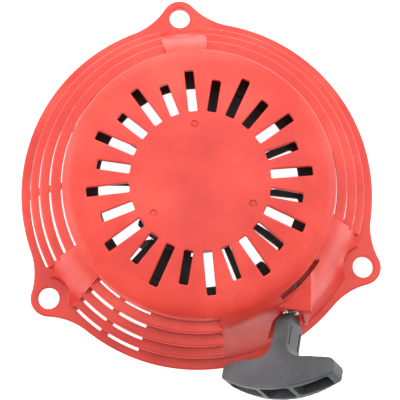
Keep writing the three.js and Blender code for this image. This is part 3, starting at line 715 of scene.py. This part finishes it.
def vent_slots():
    """Cutters that flare just under the surface, so each slot gets a softly rounded lip."""
    lip = ((-0.5, 0.0), (-0.34, 0.05), (-0.18, 0.15), (-0.06, 0.32), (0.02, 0.6), (0.6, 1.6))
    cutters = []
    for k in range(SLOT_COUNT):
        outer = SLOT_LONG_R if k % 2 == 0 else SLOT_SHORT_R
        half = SLOT_WIDTH / 2
        c = SLOT_CORNER
        corners = [(SLOT_INNER_R, -half, c), (outer, -half, c), (outer, half, c), (SLOT_INNER_R, half, c)]
        base = np.array(filleted(corners, 5))
        rings = [[(x, y, 38.0) for x, y in base]]
        for rise, spread in lip:
            flared = inset(base, -spread) if spread else base
            rings.append([(x, y, crown_height(np.hypot(x, y)) + rise) for x, y in flared])
        cutters.append(stack(rings).moved(turn_z(90 + 360 / SLOT_COUNT * k)))
    return together(cutters)


LEFT_ARCS = ((99.8, 124.2), (127, 149.3), (151.7, 173.8), (176.4, 201), (218.8, 229.4), (232.2, 243.8))
RIGHT_ARCS = ((-18.2, 8.6), (12.2, 42), (44.5, 80.8))


def louvres():
    cutters = []
    for k, foot in enumerate((SHOULDER_R, *STEP_R)):
        low = STEP_Z[k] - 6 if k < 3 else -1
        high = STEP_Z[k] + 0.8 if k < 3 else FLANGE_Z + 0.8
        for start, end in LEFT_ARCS + RIGHT_ARCS:
            cutters.append(arc_slot(foot, foot + LOUVRE_WIDTH[k], start, end, low, high))
    return together(cutters)


def sectors_of(solid_maker, sectors):
    things = []
    for start, end in sectors:
        things.append(meet(to_object(solid_maker()), wedge(start, end, -2, 60)))
    return things


def ear_cutters():
    recess = filleted([
        (0, FLANGE_Z), (EAR_RECESS_R - 0.4, FLANGE_Z, 1.2), (EAR_RECESS_R + 0.6, 14),
        (EAR_RECESS_R + 4.5, 40), (0, 40),
    ], 6)
    hole = filleted([
        (0, -1), (EAR_HOLE_R + 1.5, -1), (EAR_HOLE_R + 0.5, 0), (EAR_HOLE_R, 0.6),
        (EAR_HOLE_R, FLANGE_Z - 0.5, 0.6), (EAR_HOLE_R + 0.5, FLANGE_Z + 0.02),
        (EAR_HOLE_R + 2, FLANGE_Z + 1), (0, FLANGE_Z + 1),
    ], 4)
    recesses, holes = [], []
    for angle in EAR_ANGLES:
        place = shift(*polar(EAR_PITCH_R, angle), 0)
        recesses.append(lathe(recess, 96).moved(place))
        holes.append(lathe(hole, 96).moved(place))
    return together(recesses), together(holes)


def exit_boss():
    inner_y = EXIT_SIDES[0] - WALL
    outer_y = EXIT_SIDES[1] + WALL
    face = EXIT_WALL[1]
    side = filleted([
        (34, 14), (67.6, 14), (67.6, 26, 3), (face + 1.2, 34.8, 2), (face - 0.4, 36.4, 1.5), (40, 40.4, 3),
        (34, 40.4),
    ])
    along = slab(side, inner_y, outer_y).moved(THICK_ALONG_Y)
    section = filleted([
        (inner_y - 3, 14), (outer_y, 14), (outer_y, 36, 1.5), (outer_y - 3.5, 40.6), (inner_y + 5, 40.6),
        (inner_y, 35),
    ])
    across = slab(section, 30, 70).moved(THICK_ALONG_X)
    return meet(to_object(along.moved(EXIT)), across.moved(EXIT))


UNDER_RAMP = [(0, 0), (98, 0), (95.8, FLANGE_Z), *reversed(RAMP_LINE[:-1]), (0, 40)]
UNDER_FRONT = [(0, 0), (98, 0), (95.8, FLANGE_Z), *reversed(FRONT_LINE[:-1]), (0, 40)]


def add_rope_exit(body):
    """Boss with the rope's duct and guide hole, the notch for the handle's stem, and the slit."""
    low, high = EXIT_SIDES
    wall_in, wall_out = EXIT_WALL
    reel_space = rod(REEL_ROOM_R, -1, REEL_ROOM_TOP_Z, ROUND)
    inside_shell = lathe([(0, -1), (70, -1), (70, 44), (0, 44)])
    add(body, cut(exit_boss(), inside_shell, reel_space))
    for line, start, end in ((UNDER_FRONT, -110, -58.9), (UNDER_RAMP, -59.1, 0)):
        cheek = to_object(box((40, low - WALL, 0.5), (92, high + WALL, 40)).moved(EXIT))
        meet(meet(cheek, lathe(line)), wedge(start, end, -2, 60))
        add(body, cut(cheek, reel_space, inside_shell))
    for bottom, top in (DUCT_Z, UNDER_DUCT_Z):
        duct = to_object(box((30, low, bottom), (wall_in, high, top)).moved(EXIT))
        cut(body, cut(duct, inside_shell))
    plan = filleted([
        (wall_out, NOTCH_ROOT[1], 1.2), (wall_out, NOTCH_ROOT[0], 1.2), (NOTCH_FLARE, NOTCH_MOUTH[0], 3),
        (110, NOTCH_MOUTH[0] - 3), (110, NOTCH_MOUTH[1]), (NOTCH_FLARE, NOTCH_MOUTH[1], 3),
    ])
    reach, drop_low, drop_high = NOTCH_DROP
    drop = box((wall_out, drop_low, -1), (reach, drop_high, NOTCH_FLOOR_Z + 1))
    cut(body, slab(plan, NOTCH_FLOOR_Z, 60).moved(EXIT), drop.moved(EXIT))
    for start, end in SHELF_ANGLES:
        add(body, meet(to_object(ring(*SHELF_SECTION)), wedge(start, end, 20, 40)))
    hole = rod(GUIDE_HOLE_R, -7, 7).moved(PULL @ shift(GUIDE_ALONG, 0, 0) @ Z_TO_X)
    cut(body, hole, arc_slot(SHOULDER_R, SHOULDER_R + SLIT_WIDTH, *SLIT_ANGLES, 30, 46, 0.3))


def make_housing():
    body = to_object(crown_solid())
    stairs = to_object(staircase_solid())
    for start, end in (*RAMP_SECTORS[:2], (FRONT_SECTOR[0], RAMP_SECTORS[2][1])):
        cut(stairs, wedge(start + 0.7, end - 0.7, -2, 60))
    add(body, stairs)
    add(body, *sectors_of(lambda: ramp_solid(RAMP_LINE, RAMP_INSIDE), RAMP_SECTORS))
    add(body, *sectors_of(lambda: ramp_solid(FRONT_LINE, FRONT_INSIDE), (FRONT_SECTOR,)))
    add(body, flange_solid())
    for angle in EAR_ANGLES:
        pad = to_object(rod(EAR_RECESS_R + WALL, 0, 40).moved(shift(*polar(EAR_PITCH_R, angle), 0)))
        add(body, meet(pad, lathe(UNDER_RAMP)))
    recesses, holes = ear_cutters()
    cut(body, recesses, holes)
    add_rope_exit(body)
    cut(body, louvres(), vent_slots())
    near, far, depth = DIMPLE
    low, high = CROWN_Z - depth, CROWN_Z + 2
    dish = lathe(filleted([(near, low, 0.2), (far, low, 0.3), (far + 0.3, high), (near - 0.2, high)], 4), 48)
    cut(body, together([dish.moved(shift(*polar(DIMPLE_R, angle), 0)) for angle in EAR_ANGLES]))
    bore_r, bore_top = SCREW_BORE
    post = lathe(filleted([
        (0, bore_top), (bore_r, bore_top), (bore_r, POST_END_Z, 0.4), (POST_R, POST_END_Z, 0.6),
        (POST_R, 44, 2), (13, POST_ROOT_Z - 0.4), (0, POST_ROOT_Z),
    ], 4), 96)
    add(body, post, ring(CUP_R - WALL, CUP_R, CUP_END_Z, POST_ROOT_Z + 0.2, ROUND, 0.3))
    return finish_piece(body, "cover", "housing", RED, ["housing"])


# ---- reel ----
SPOKE_EDGES = (17, -12, -43, -73.5)
SPOKE_SPAN = 5
SECTOR_FROM = 42
SECTOR_TO = 82
SECTOR_INNER_R = 39.0
KNOT_ANGLE = -61
KNOT_R = 57.85
KNOT_Z = 14.5


def window_outline(inner, outer, start, end, corner):
    """Ring sector with rounded corners, as a closed outline."""
    bite_in, bite_out = math.degrees(corner / inner), math.degrees(corner / outer)
    arc = [polar(outer, a) for a in np.linspace(start + bite_out, end - bite_out, 24)]
    arc += [polar(outer - corner * 0.3, end - 0.29 * bite_out), polar(outer - corner, end)]
    arc += [polar(inner + corner, end), polar(inner + corner * 0.3, end - 0.29 * bite_in)]
    arc += [polar(inner, a) for a in np.linspace(end - bite_in, start + bite_in, 24)]
    arc += [polar(inner + corner * 0.3, start + 0.29 * bite_in), polar(inner + corner, start)]
    arc += [polar(outer - corner, start), polar(outer - corner * 0.3, start + 0.29 * bite_out)]
    return arc


def reel_windows():
    """Cutters for the openings between the spokes, each with a softened edge on both faces of the web."""
    cutters = []
    edges = (SECTOR_FROM, *SPOKE_EDGES, SECTOR_TO - 180)
    for turn in (0, 180):
        for k in range(len(edges) - 1):
            start = edges[k + 1] + (0 if k == len(edges) - 2 else SPOKE_SPAN)
            outline = window_outline(REEL_DISC_R, REEL_WINDOW_R, start, edges[k], 1.2)
            flared = inset(outline, -0.6)
            rings = [(flared, 5.0), (flared, WEB_LOW_Z)]
            rings += [(outline, WEB_LOW_Z + 0.6), (outline, WEB_HIGH_Z - 0.5)]
            rings += [(inset(outline, -0.2), WEB_HIGH_Z - 0.1), (inset(outline, -0.5), WEB_HIGH_Z + 0.01)]
            levels = [[(x, y, z) for x, y in ring] for ring, z in rings]
            cutters.append(stack(levels).moved(turn_z(turn)))
        for start, end in ((SECTOR_FROM - 1, 63), (76, SECTOR_TO + 1)):
            outline = window_outline(REEL_DISC_R, SECTOR_INNER_R, start, end, 0.6)
            cutters.append(slab(outline, 5, WEB_HIGH_Z + 0.5).moved(turn_z(turn)))
    return cutters


def rim_flare():
    """The rim's inner face slopes outwards under its top edge, between the spokes."""
    sloped = [(REEL_WALL_R, WEB_LOW_Z), (REEL_WINDOW_R, WEB_HIGH_Z)]
    return lathe([(40, 5), (REEL_WALL_R, 5), *sloped, (40, WEB_HIGH_Z)])


def make_reel():
    hub = REEL_HUB_BORE_R
    profile = filleted([
        (hub, WEB_LOW_Z - 1.2, 0.3), (14.2, WEB_LOW_Z - 1.2, 0.6), (15, WEB_LOW_Z, 1),
        (REEL_WALL_R, WEB_LOW_Z, 1), (REEL_WALL_R, REEL_BOTTOM_Z, 0.4), (REEL_FLANGE_R, REEL_BOTTOM_Z, 0.7),
        (REEL_FLANGE_R, GROOVE_LOW_Z, 0.7), (GROOVE_R, GROOVE_LOW_Z, 0.6), (GROOVE_R, GROOVE_HIGH_Z, 0.6),
        (REEL_FLANGE_R, GROOVE_HIGH_Z, 0.7), (REEL_FLANGE_R, REEL_TOP_Z, 0.7),
        (REEL_WINDOW_R, REEL_TOP_Z, 0.6), (REEL_WINDOW_R, WEB_HIGH_Z, 0.4),
        (REEL_HUB_R, WEB_HIGH_Z, 1.2), (REEL_HUB_R, REEL_HUB_TOP_Z, 0.4), (hub, REEL_HUB_TOP_Z, 0.3),
    ], 4)
    reel = to_object(lathe(profile))
    flare = rim_flare()
    for cutter in reel_windows():
        cut(reel, cutter)
    for turn in (0, 180):
        for k, edge in enumerate((SECTOR_FROM, *SPOKE_EDGES)):
            end = (*SPOKE_EDGES, SECTOR_TO - 180)[k]
            start = end + (0 if k == len(SPOKE_EDGES) else SPOKE_SPAN)
            gap = meet(to_object(wedge(start + 0.8, edge - 0.8, 4, 27).moved(turn_z(turn))), flare)
            cut(reel, meet(gap, ring(REEL_DISC_R + 2, REEL_WALL_R, 4, 27)))
    # Stiffening rib under each spoke, and one round the edge of the disc.
    ribs = [ring(REEL_DISC_R - 2.4, REEL_DISC_R - 0.9, WEB_LOW_Z - 1.3, WEB_LOW_Z + 0.4, ROUND, 0.35)]
    for turn in (0, 180):
        for edge in SPOKE_EDGES:
            middle = turn + edge + SPOKE_SPAN / 2
            near, far = REEL_DISC_R - 1.6, REEL_WALL_R + 0.6
            bar = [(near, -0.8), (far, -0.8), (far, 0.8), (near, 0.8)]
            ribs.append(slab(bar, WEB_LOW_Z - 1.2, WEB_LOW_Z + 0.4, 0.35).moved(turn_z(middle)))
    add(reel, *ribs)
    pivot = polar(PAWL_PIVOT_R, PAWL_PIVOT_ANGLE)
    for turn in (0, 180):
        place = turn_z(turn) @ shift(*pivot, 0)
        add(reel, rod(5.2, WEB_LOW_Z + 0.2, WEB_HIGH_Z + 0.1, 48, 0.5).moved(place))
        cut(reel, rod(PIN_BORE_R, 10, WEB_HIGH_Z - 0.6, 48).moved(place))

    def round_knot(inner, outer, half, corner):
        return window_outline(inner, outer, KNOT_ANGLE - half, KNOT_ANGLE + half, corner)

    add(reel, slab(round_knot(53.4, 61.5, 6.5, 1.6), REEL_BOTTOM_Z, 20.6, 0.4, 0.4))
    cut(reel, slab(round_knot(55.2, 60.5, 4.6, 1.2), GROOVE_LOW_Z + 0.4, WEB_LOW_Z))
    cut(reel, slab(round_knot(57, 65, 3, 0.5), 11, 18))
    cut(reel, slab(window_outline(11, 20, -6, 6, 0.5), 31, 45))
    return finish_piece(reel, "rope_reel", "reel", BLACK, ["reel", "reel_rim"])


# ---- rope ----
def ping(value):
    return np.abs(value - np.floor(value) - 0.5) * 2


def braided(path, radius, sides):
    """Rope along points, with the strands of its braid raised on the surface, and a UV map along it."""
    plain = tube_mesh(path, radius, sides)
    path = np.array(path, float)
    gaps = np.linalg.norm(np.diff(path, axis=0), axis=1)
    along = np.concatenate([[0], np.cumsum(gaps)]) / BRAID_PITCH
    around = np.arange(sides) / sides
    u, v = np.meshgrid(around, along)
    crossing = 1 - np.minimum(ping(u * STRANDS + v), ping(u * STRANDS - v))
    swell = 0.92 + 0.08 * crossing
    centre = path[:, None, :]
    points = centre + (plain.points.reshape(len(path), sides, 3) - centre) * swell[..., None]
    thing = to_object(Shell(points.reshape(-1, 3), plain.faces))
    layer = thing.data.uv_layers.new(name="UVMap")
    for polygon in thing.data.polygons:
        ks = [thing.data.loops[i].vertex_index % sides for i in polygon.loop_indices]
        wraps = max(ks) - min(ks) > sides / 2
        for i, k in zip(polygon.loop_indices, ks):
            level = thing.data.loops[i].vertex_index // sides
            layer.data[i].uv = ((k + (sides if wraps and k < sides / 2 else 0)) / sides, along[level])
    return thing


WOUND_TURNS = 3.5
WOUND_PITCH = 3.62


def make_wound_rope():
    path = []
    count = int(WOUND_TURNS * 300)
    for k in range(count + 1):
        degrees = 360 * WOUND_TURNS * k / count
        settle = min(1.0, (degrees % 360) / 50, (360 - degrees % 360) / 50)
        rise = 1.5 * (1 - settle) if degrees < 1200 else 0
        z = 10.9 + WOUND_PITCH * degrees / 360 + rise - WOUND_PITCH * 0.04
        path.append((*polar(ROPE_LINE_R, TANGENT_ANGLE + degrees), min(z, 23.4)))
    finish_piece(braided(path, ROPE_D / 2, 12), "wound_rope", "reel", ROPE, ["rope_wound"])


def make_lead():
    """Taut rope from the reel through the guide and the handle's bore to its knot."""
    bend = 3.0
    straight = [PULL @ Vector((x, 0, 0)) for x in np.linspace(0, TIP_ALONG - bend, 150)]
    inside = [HANDLE @ Vector((x, 0, 0)) for x in np.linspace(bend, POCKET_FLOOR + 1.9, 90)]
    tip = PULL @ Vector((TIP_ALONG, 0, 0))
    turn = [tuple(point) for point in quad(straight[-1], tip, inside[0], 16)]
    path = [tuple(point) for point in straight] + turn[:-1] + [tuple(point) for point in inside]
    lead = braided(path, ROPE_D / 2, 32)
    finish_piece(lead, "pull_rope", None, STRAIGHT_ROPE, ["rope_lead"])
    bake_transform(lead)


def knot_path(size, place):
    """Overhand knot drawn tight."""
    path = []
    for k in range(160):
        t = 2 * math.pi * k / 160
        along = math.sin(3 * t)
        point = Vector((along, math.sin(t) + 2 * math.sin(2 * t), math.cos(t) - 2 * math.cos(2 * t)))
        path.append(tuple(place @ (point * size)))
    return path


def make_knots():
    grip_place = HANDLE @ shift(POCKET_FLOOR + 4.9, 0, 0)
    knot = braided(knot_path(0.86, grip_place), 1.55, 24)
    finish_piece(knot, "grip_knot", "handle", ROPE, ["rope_grip_knot"])
    reel_place = turn_z(KNOT_ANGLE) @ shift(KNOT_R, 0, KNOT_Z)
    knot = braided(knot_path(0.5, reel_place), 0.98, 24)
    finish_piece(knot, "reel_knot", "reel", ROPE, ["rope_reel_knot"])


# ---- ratchet ----
PIVOT = polar(PAWL_PIVOT_R, PAWL_PIVOT_ANGLE)
PAWL_TIP = polar(PAWL_TIP_R, PAWL_TIP_ANGLE)
PAWL_LENGTH = math.dist(PIVOT, PAWL_TIP)
PAWL_HEADING = math.degrees(math.atan2(PAWL_TIP[1] - PIVOT[1], PAWL_TIP[0] - PIVOT[0]))


def at_pivot(turn):
    return turn_z(turn) @ shift(*PIVOT, 0) @ turn_z(PAWL_HEADING)


def pawl_outline():
    nose = PAWL_LENGTH
    outline = [polar(4.8, a) for a in np.linspace(70, 290, 28)]
    outline += filleted([
        (1.7, -4.5), (nose - 5, -3.4, 3), (nose, -1.2, 0.5), (nose + 0.4, 3, 0.5), (nose - 3, 3.8, 1.5),
        (10, 4.75, 6),
    ])[1:]
    return outline


def smooth_path(points, steps):
    """Catmull-Rom curve through points."""
    pts = [np.array(p, float) for p in points]
    pts = [2 * pts[0] - pts[1], *pts, 2 * pts[-1] - pts[-2]]
    result = []
    for a, b, c, d in zip(pts, pts[1:], pts[2:], pts[3:]):
        for k in range(steps):
            t = k / steps
            result.append(tuple(0.5 * (2 * b + (c - a) * t + (2 * a - 5 * b + 4 * c - d) * t**2
                                       + (3 * b - a - 3 * c + d) * t**3)))
    return result + [tuple(pts[-2])]


def make_pawl(label, turn):
    place = at_pivot(turn)
    pawl = to_object(slab(pawl_outline(), PAWL_LOW_Z, PAWL_HIGH_Z, 0.4, 0.4).moved(place))
    add(pawl, rod(2.2, 13.4, PAWL_LOW_Z + 1, 48, 0.35).moved(place @ shift(PAWL_POST_REACH, 0, 0)))
    cut(pawl, rod(PIN_BORE_R, 10, 30, 48).moved(place))
    dish = filleted([(12.6, -1.6, 0.8), (17, -1.2, 0.8), (17.4, 1.4, 0.8), (12.8, 2.2, 0.8)])
    cut(pawl, slab(dish, PAWL_LOW_Z - 1, PAWL_LOW_Z + 0.9).moved(place))
    body = f"pawl_{label}"
    finish_piece(pawl, f"drive_pawl_{label}", body, NYLON, [body])
    pin = to_object(rod(PIN_R, *PIN_ENDS_Z, 48, 0.35).moved(place))
    finish_piece(pin, f"pivot_pin_{label}", "reel", ZINC, [f"pawl_pin_{label}"])
    loop = HAIRPIN_LOOP_R
    low, high = HAIRPIN_Z
    points = [(-8, -4.2, low), (-5, -loop - 0.5, low)]
    points += [(*polar(loop, 270 - 45 * k), low + (high - low) * k / 12) for k in range(13)]
    points += [(6, loop, high), (12.4, 2.9, high)]
    path = [tuple(place @ Vector(p)) for p in smooth_path(points, 10)]
    spring = to_object(tube_mesh(path, 0.35, 12))
    finish_piece(spring, f"hairpin_spring_{label}", "reel", SPRING, [f"pawl_spring_{label}"])


def cam_radius(angle):
    a = angle % 180
    low, (start, end) = CAM_LOW_R, CAM_LOBE_R
    return float(np.interp(a, (0, 14, 24, 57, 64, 180), (low, low, start, end, low, low)))


def make_ratchet_guide():
    outline = [polar(cam_radius(a), a) for a in np.arange(0, 360, 2.5)]
    guide = to_object(slab(outline, CAM_LOW_Z, CAM_HIGH_Z, 0.4, 0.4))
    add(guide, rod(11.6, CAM_LOW_Z - 0.9, 17.1, FINE, 0.5))
    cut(guide, rod(POST_R + 0.4, 5, 30))
    for angle in (0, 90, 180, 270):
        cut(guide, slab(window_outline(17, 25, angle - 4, angle + 40, 1.4), 10, 20))
    finish_piece(guide, "cam_plate", "ratchet_guide", NYLON, ["ratchet_guide"])


def make_centre_parts():
    turns = 2.2
    path = [(*polar(14, 360 * turns * k / 160), 16.9 + 3.8 * k / 160) for k in range(161)]
    spring = to_object(tube_mesh(path, 0.55, 14))
    finish_piece(spring, "friction_spring", "reel", SPRING, ["brake_spring"])
    washer = to_object(ring(2.9, 14.5, 10.7, 11.7, ROUND, 0.25))
    finish_piece(washer, "retaining_washer", "housing", ZINC, ["thrust_washer"])
    hexagon = [polar(5.6, 60 * k) for k in range(6)]
    head = to_object(slab(filleted([(*p, 0.35) for p in hexagon], 3), 6.4, 10.2))
    meet(head, lathe([(0, 6.0), (4.0, 6.0), (4.9, 6.45), (5.9, 7.1), (5.9, 11), (0, 11)], 96))
    add(head, rod(7, 9.1, 10.4, FINE, 0.4), rod(2.45, 9.5, 33, 48, 0.5))
    cut(head, lathe([(0, 5), (3.2, 5), (3.0, 6.7), (0, 6.9)], 48))
    finish_piece(head, "hub_screw", "housing", ZINC, ["centre_screw"])
    cover = to_object(ring(14, CUP_R, 28.4, CUP_END_Z - 0.3, ROUND, 0.3))
    finish_piece(cover, "spring_plate", "housing", ZINC, ["spring_cover"])
    eyelet = filleted([(2.1, -2.6, 1.0), (4.3, -2.6, 0.8), (4.3, 2.6, 0.8), (2.1, 2.6, 1.0)], 6)
    place = PULL @ shift(GUIDE_ALONG, 0, 0) @ Z_TO_X
    guide = to_object(lathe(eyelet, 64).moved(place))
    finish_piece(guide, "exit_guide", "housing", ZINC, ["rope_eyelet"])
    place = HANDLE @ shift(POCKET_FLOOR + 0.9, 0, 0) @ Z_TO_X
    retainer = to_object(ring(2.2, 4.6, -0.6, 0.6, 64, 0.25).moved(place))
    finish_piece(retainer, "knot_washer", "handle", ZINC, ["rope_retainer"])


# ---- handle: X from the stem's tip outwards, Y along the bar, Z through its thickness ----
STEM_HALF = 4.7
TIP_HALF = 3.2
BAR_NEAR = 28.5
BAR_HALF = 34.0
BAR_FAR_END = 39.5
BAR_FAR_MID = 49.0
BAR_THICK = 17.0
POCKET_FLOOR = 33.0


def quad(a, b, c, steps):
    points = []
    for k in range(1, steps + 1):
        t = k / steps
        weights = ((1 - t) ** 2, 2 * t * (1 - t), t * t)
        points.append(tuple(sum(w * p for w, p in zip(weights, column)) for column in zip(a, b, c)))
    return points


def grip_outline():
    """Half of the outline, then its mirror image."""
    stem = STEM_HALF
    near, half = BAR_NEAR, BAR_HALF
    side = [(0.01, TIP_HALF), (2.6, 3.6), (5.5, stem), (near - 9, stem)]
    side += quad((near - 9, stem), (near - 0.6, stem + 0.6), (near, stem + 9), 12)
    side += [(near + 1, half - 4)] + quad((near + 1, half - 4), (near + 1.2, half), (near + 5, half), 8)
    corner = (BAR_FAR_END, half - 2.6)
    side += [(BAR_FAR_END - 2.8, half)]
    side += quad((BAR_FAR_END - 2.8, half), (BAR_FAR_END - 0.6, half), corner, 5)
    far = quad(corner, (BAR_FAR_MID + 4.8, 0), (corner[0], -corner[1]), 34)
    return [(0.01, -TIP_HALF)] + side + far + [(x, -y) for x, y in reversed(side[:-1])][:-1]


def grip_rectangle(low_y, high_y, half_z, start, end, corner):
    """Cutter along X with rounded corners, open at the far side."""
    corners = ((low_y, -half_z), (high_y, -half_z), (high_y, half_z), (low_y, half_z))
    outline = filleted([(*point, corner) for point in corners], 5)
    return slab(outline, start, end).moved(THICK_ALONG_X)


def make_grip():
    half = BAR_THICK / 2
    grip = to_object(slab(grip_outline(), -half, half))
    upper = [(-1, 3.1), (0.4, 3.4), (6.4, 7.4), (27.5, 7.7), (35.5, half), (60, half)]
    side = [(x, -z) for x, z in upper] + upper[::-1]
    meet(grip, slab(side, -60, 60).moved(THICK_ALONG_Y))
    ys = np.linspace(-38, 38, 60)
    heights = np.interp(np.abs(ys), (0, 12, 20, 28, 34, 40), (half, half - 0.1, 7.7, 6.7, 5.9, 5.2))
    top = list(zip(ys.tolist(), heights.tolist()))
    front = top + [(y, -z) for y, z in reversed(top)]
    meet(grip, slab(front, -5, 80).moved(THICK_ALONG_X))
    round_off(grip, 0.42, 9)
    # Groove between the top plate of the stem and its body, on both sides and both faces.
    for level in (-1, 1):
        for hand in (-1, 1):
            y = sorted((hand * 4.05, hand * 6.5))
            z = sorted((level * 4.5, level * 5.5))
            cut(grip, box((9.5, y[0], z[0]), (BAR_NEAR - 8.4, y[1], z[1])))
    for low, high in ((-30.6, -11), (-8.6, 8.6), (11, 30.6)):
        thick = 6.1 if low > -9 and high < 9 else 4.8
        cut(grip, grip_rectangle(low, high, thick, POCKET_FLOOR, 70, 1.6))
    bore = lathe(filleted([(0, -1), (3.0, -1), (2.2, 1.4, 1), (2.2, 60), (0, 60)], 4), 64)
    cut(grip, bore.moved(Z_TO_X))
    grip.data.transform(HANDLE)
    finish_piece(grip, "pull_handle", "handle", GREY, ["grip"], sharp=40)


def round_off(thing, voxel, passes):
    """Softens every edge: fine voxel remesh, then smoothing."""
    step = thing.modifiers.new("voxels", "REMESH")
    step.mode = "VOXEL"
    step.voxel_size = voxel
    step = thing.modifiers.new("soften", "SMOOTH")
    step.factor = 0.5
    step.iterations = passes
    bake_modifiers(thing)


def dress(node, material):
    """Better material on a CAD node whose shape is right."""
    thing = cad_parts[node]
    thing.data.materials.clear()
    thing.data.materials.append(material)


make_housing()
make_reel()
make_wound_rope()
make_lead()
make_knots()
make_pawl("a", 0)
make_pawl("b", 180)
make_ratchet_guide()
make_centre_parts()
make_grip()
dress("mainspring", SPRING)
dress("centre_bushing", BRONZE)

# ---- floor, light, camera ----
scene = bpy.context.scene
scene.view_settings.view_transform = "Standard"


def make_floor():
    mesh = bpy.data.meshes.new("floor")
    size = 3.0
    low = -0.0012
    corners = [(-size, -size, low), (size, -size, low), (size, size, low), (-size, size, low)]
    mesh.from_pydata(corners, [], [(0, 1, 2, 3)])
    floor = bpy.data.objects.new("floor", mesh)
    scene.collection.objects.link(floor)
    paint = Paint("floor", 0.9, specular=0.1)
    paint.shader.inputs["Base Color"].default_value = (0.85, 0.85, 0.85, 1)
    paint.shader.inputs["Emission Color"].default_value = (1, 1, 1, 1)
    paint.shader.inputs["Emission Strength"].default_value = 0.95
    mesh.materials.append(paint.material)


def area_light(name, place, target, size, power):
    data = bpy.data.lights.new(name, "AREA")
    data.shape = "RECTANGLE"
    data.size, data.size_y = size
    data.energy = power
    light = bpy.data.objects.new(name, data)
    scene.collection.objects.link(light)
    light.location = place
    light.rotation_euler = (Vector(target) - Vector(place)).to_track_quat("-Z", "Y").to_euler()


make_floor()
area_light("left", (-0.9, 0.15, 0.55), (0, 0, 0), (0.9, 0.6), 7.6)
area_light("right", (0.9, 0.15, 0.55), (0, 0, 0), (0.9, 0.6), 6)
area_light("back", (0, 1.0, 0.6), (0, 0, 0), (1.2, 0.6), 9.5)
area_light("top", (0.1, 0.2, 1.3), (0, 0, 0), (1.2, 1.2), 9)

world = bpy.data.worlds.new("world")
scene.world = world
world.use_nodes = True
world.node_tree.nodes["Background"].inputs[0].default_value = (1, 1, 1, 1)
world.node_tree.nodes["Background"].inputs[1].default_value = 0.3

camera_data = bpy.data.cameras.new("camera")
camera_data.lens = 108
camera_data.sensor_width = 36
camera = bpy.data.objects.new("camera", camera_data)
scene.collection.objects.link(camera)
look = Matrix.Identity(3)
for degrees, axis in ((-8.0988, "X"), (1.9843, "Y"), (5.8224, "Z")):
    look = look @ Matrix.Rotation(math.radians(degrees), 3, axis)
camera.matrix_world = Matrix.Translation((-0.032447, -0.098568, 0.686613)) @ look.transposed().to_4x4()
scene.camera = camera
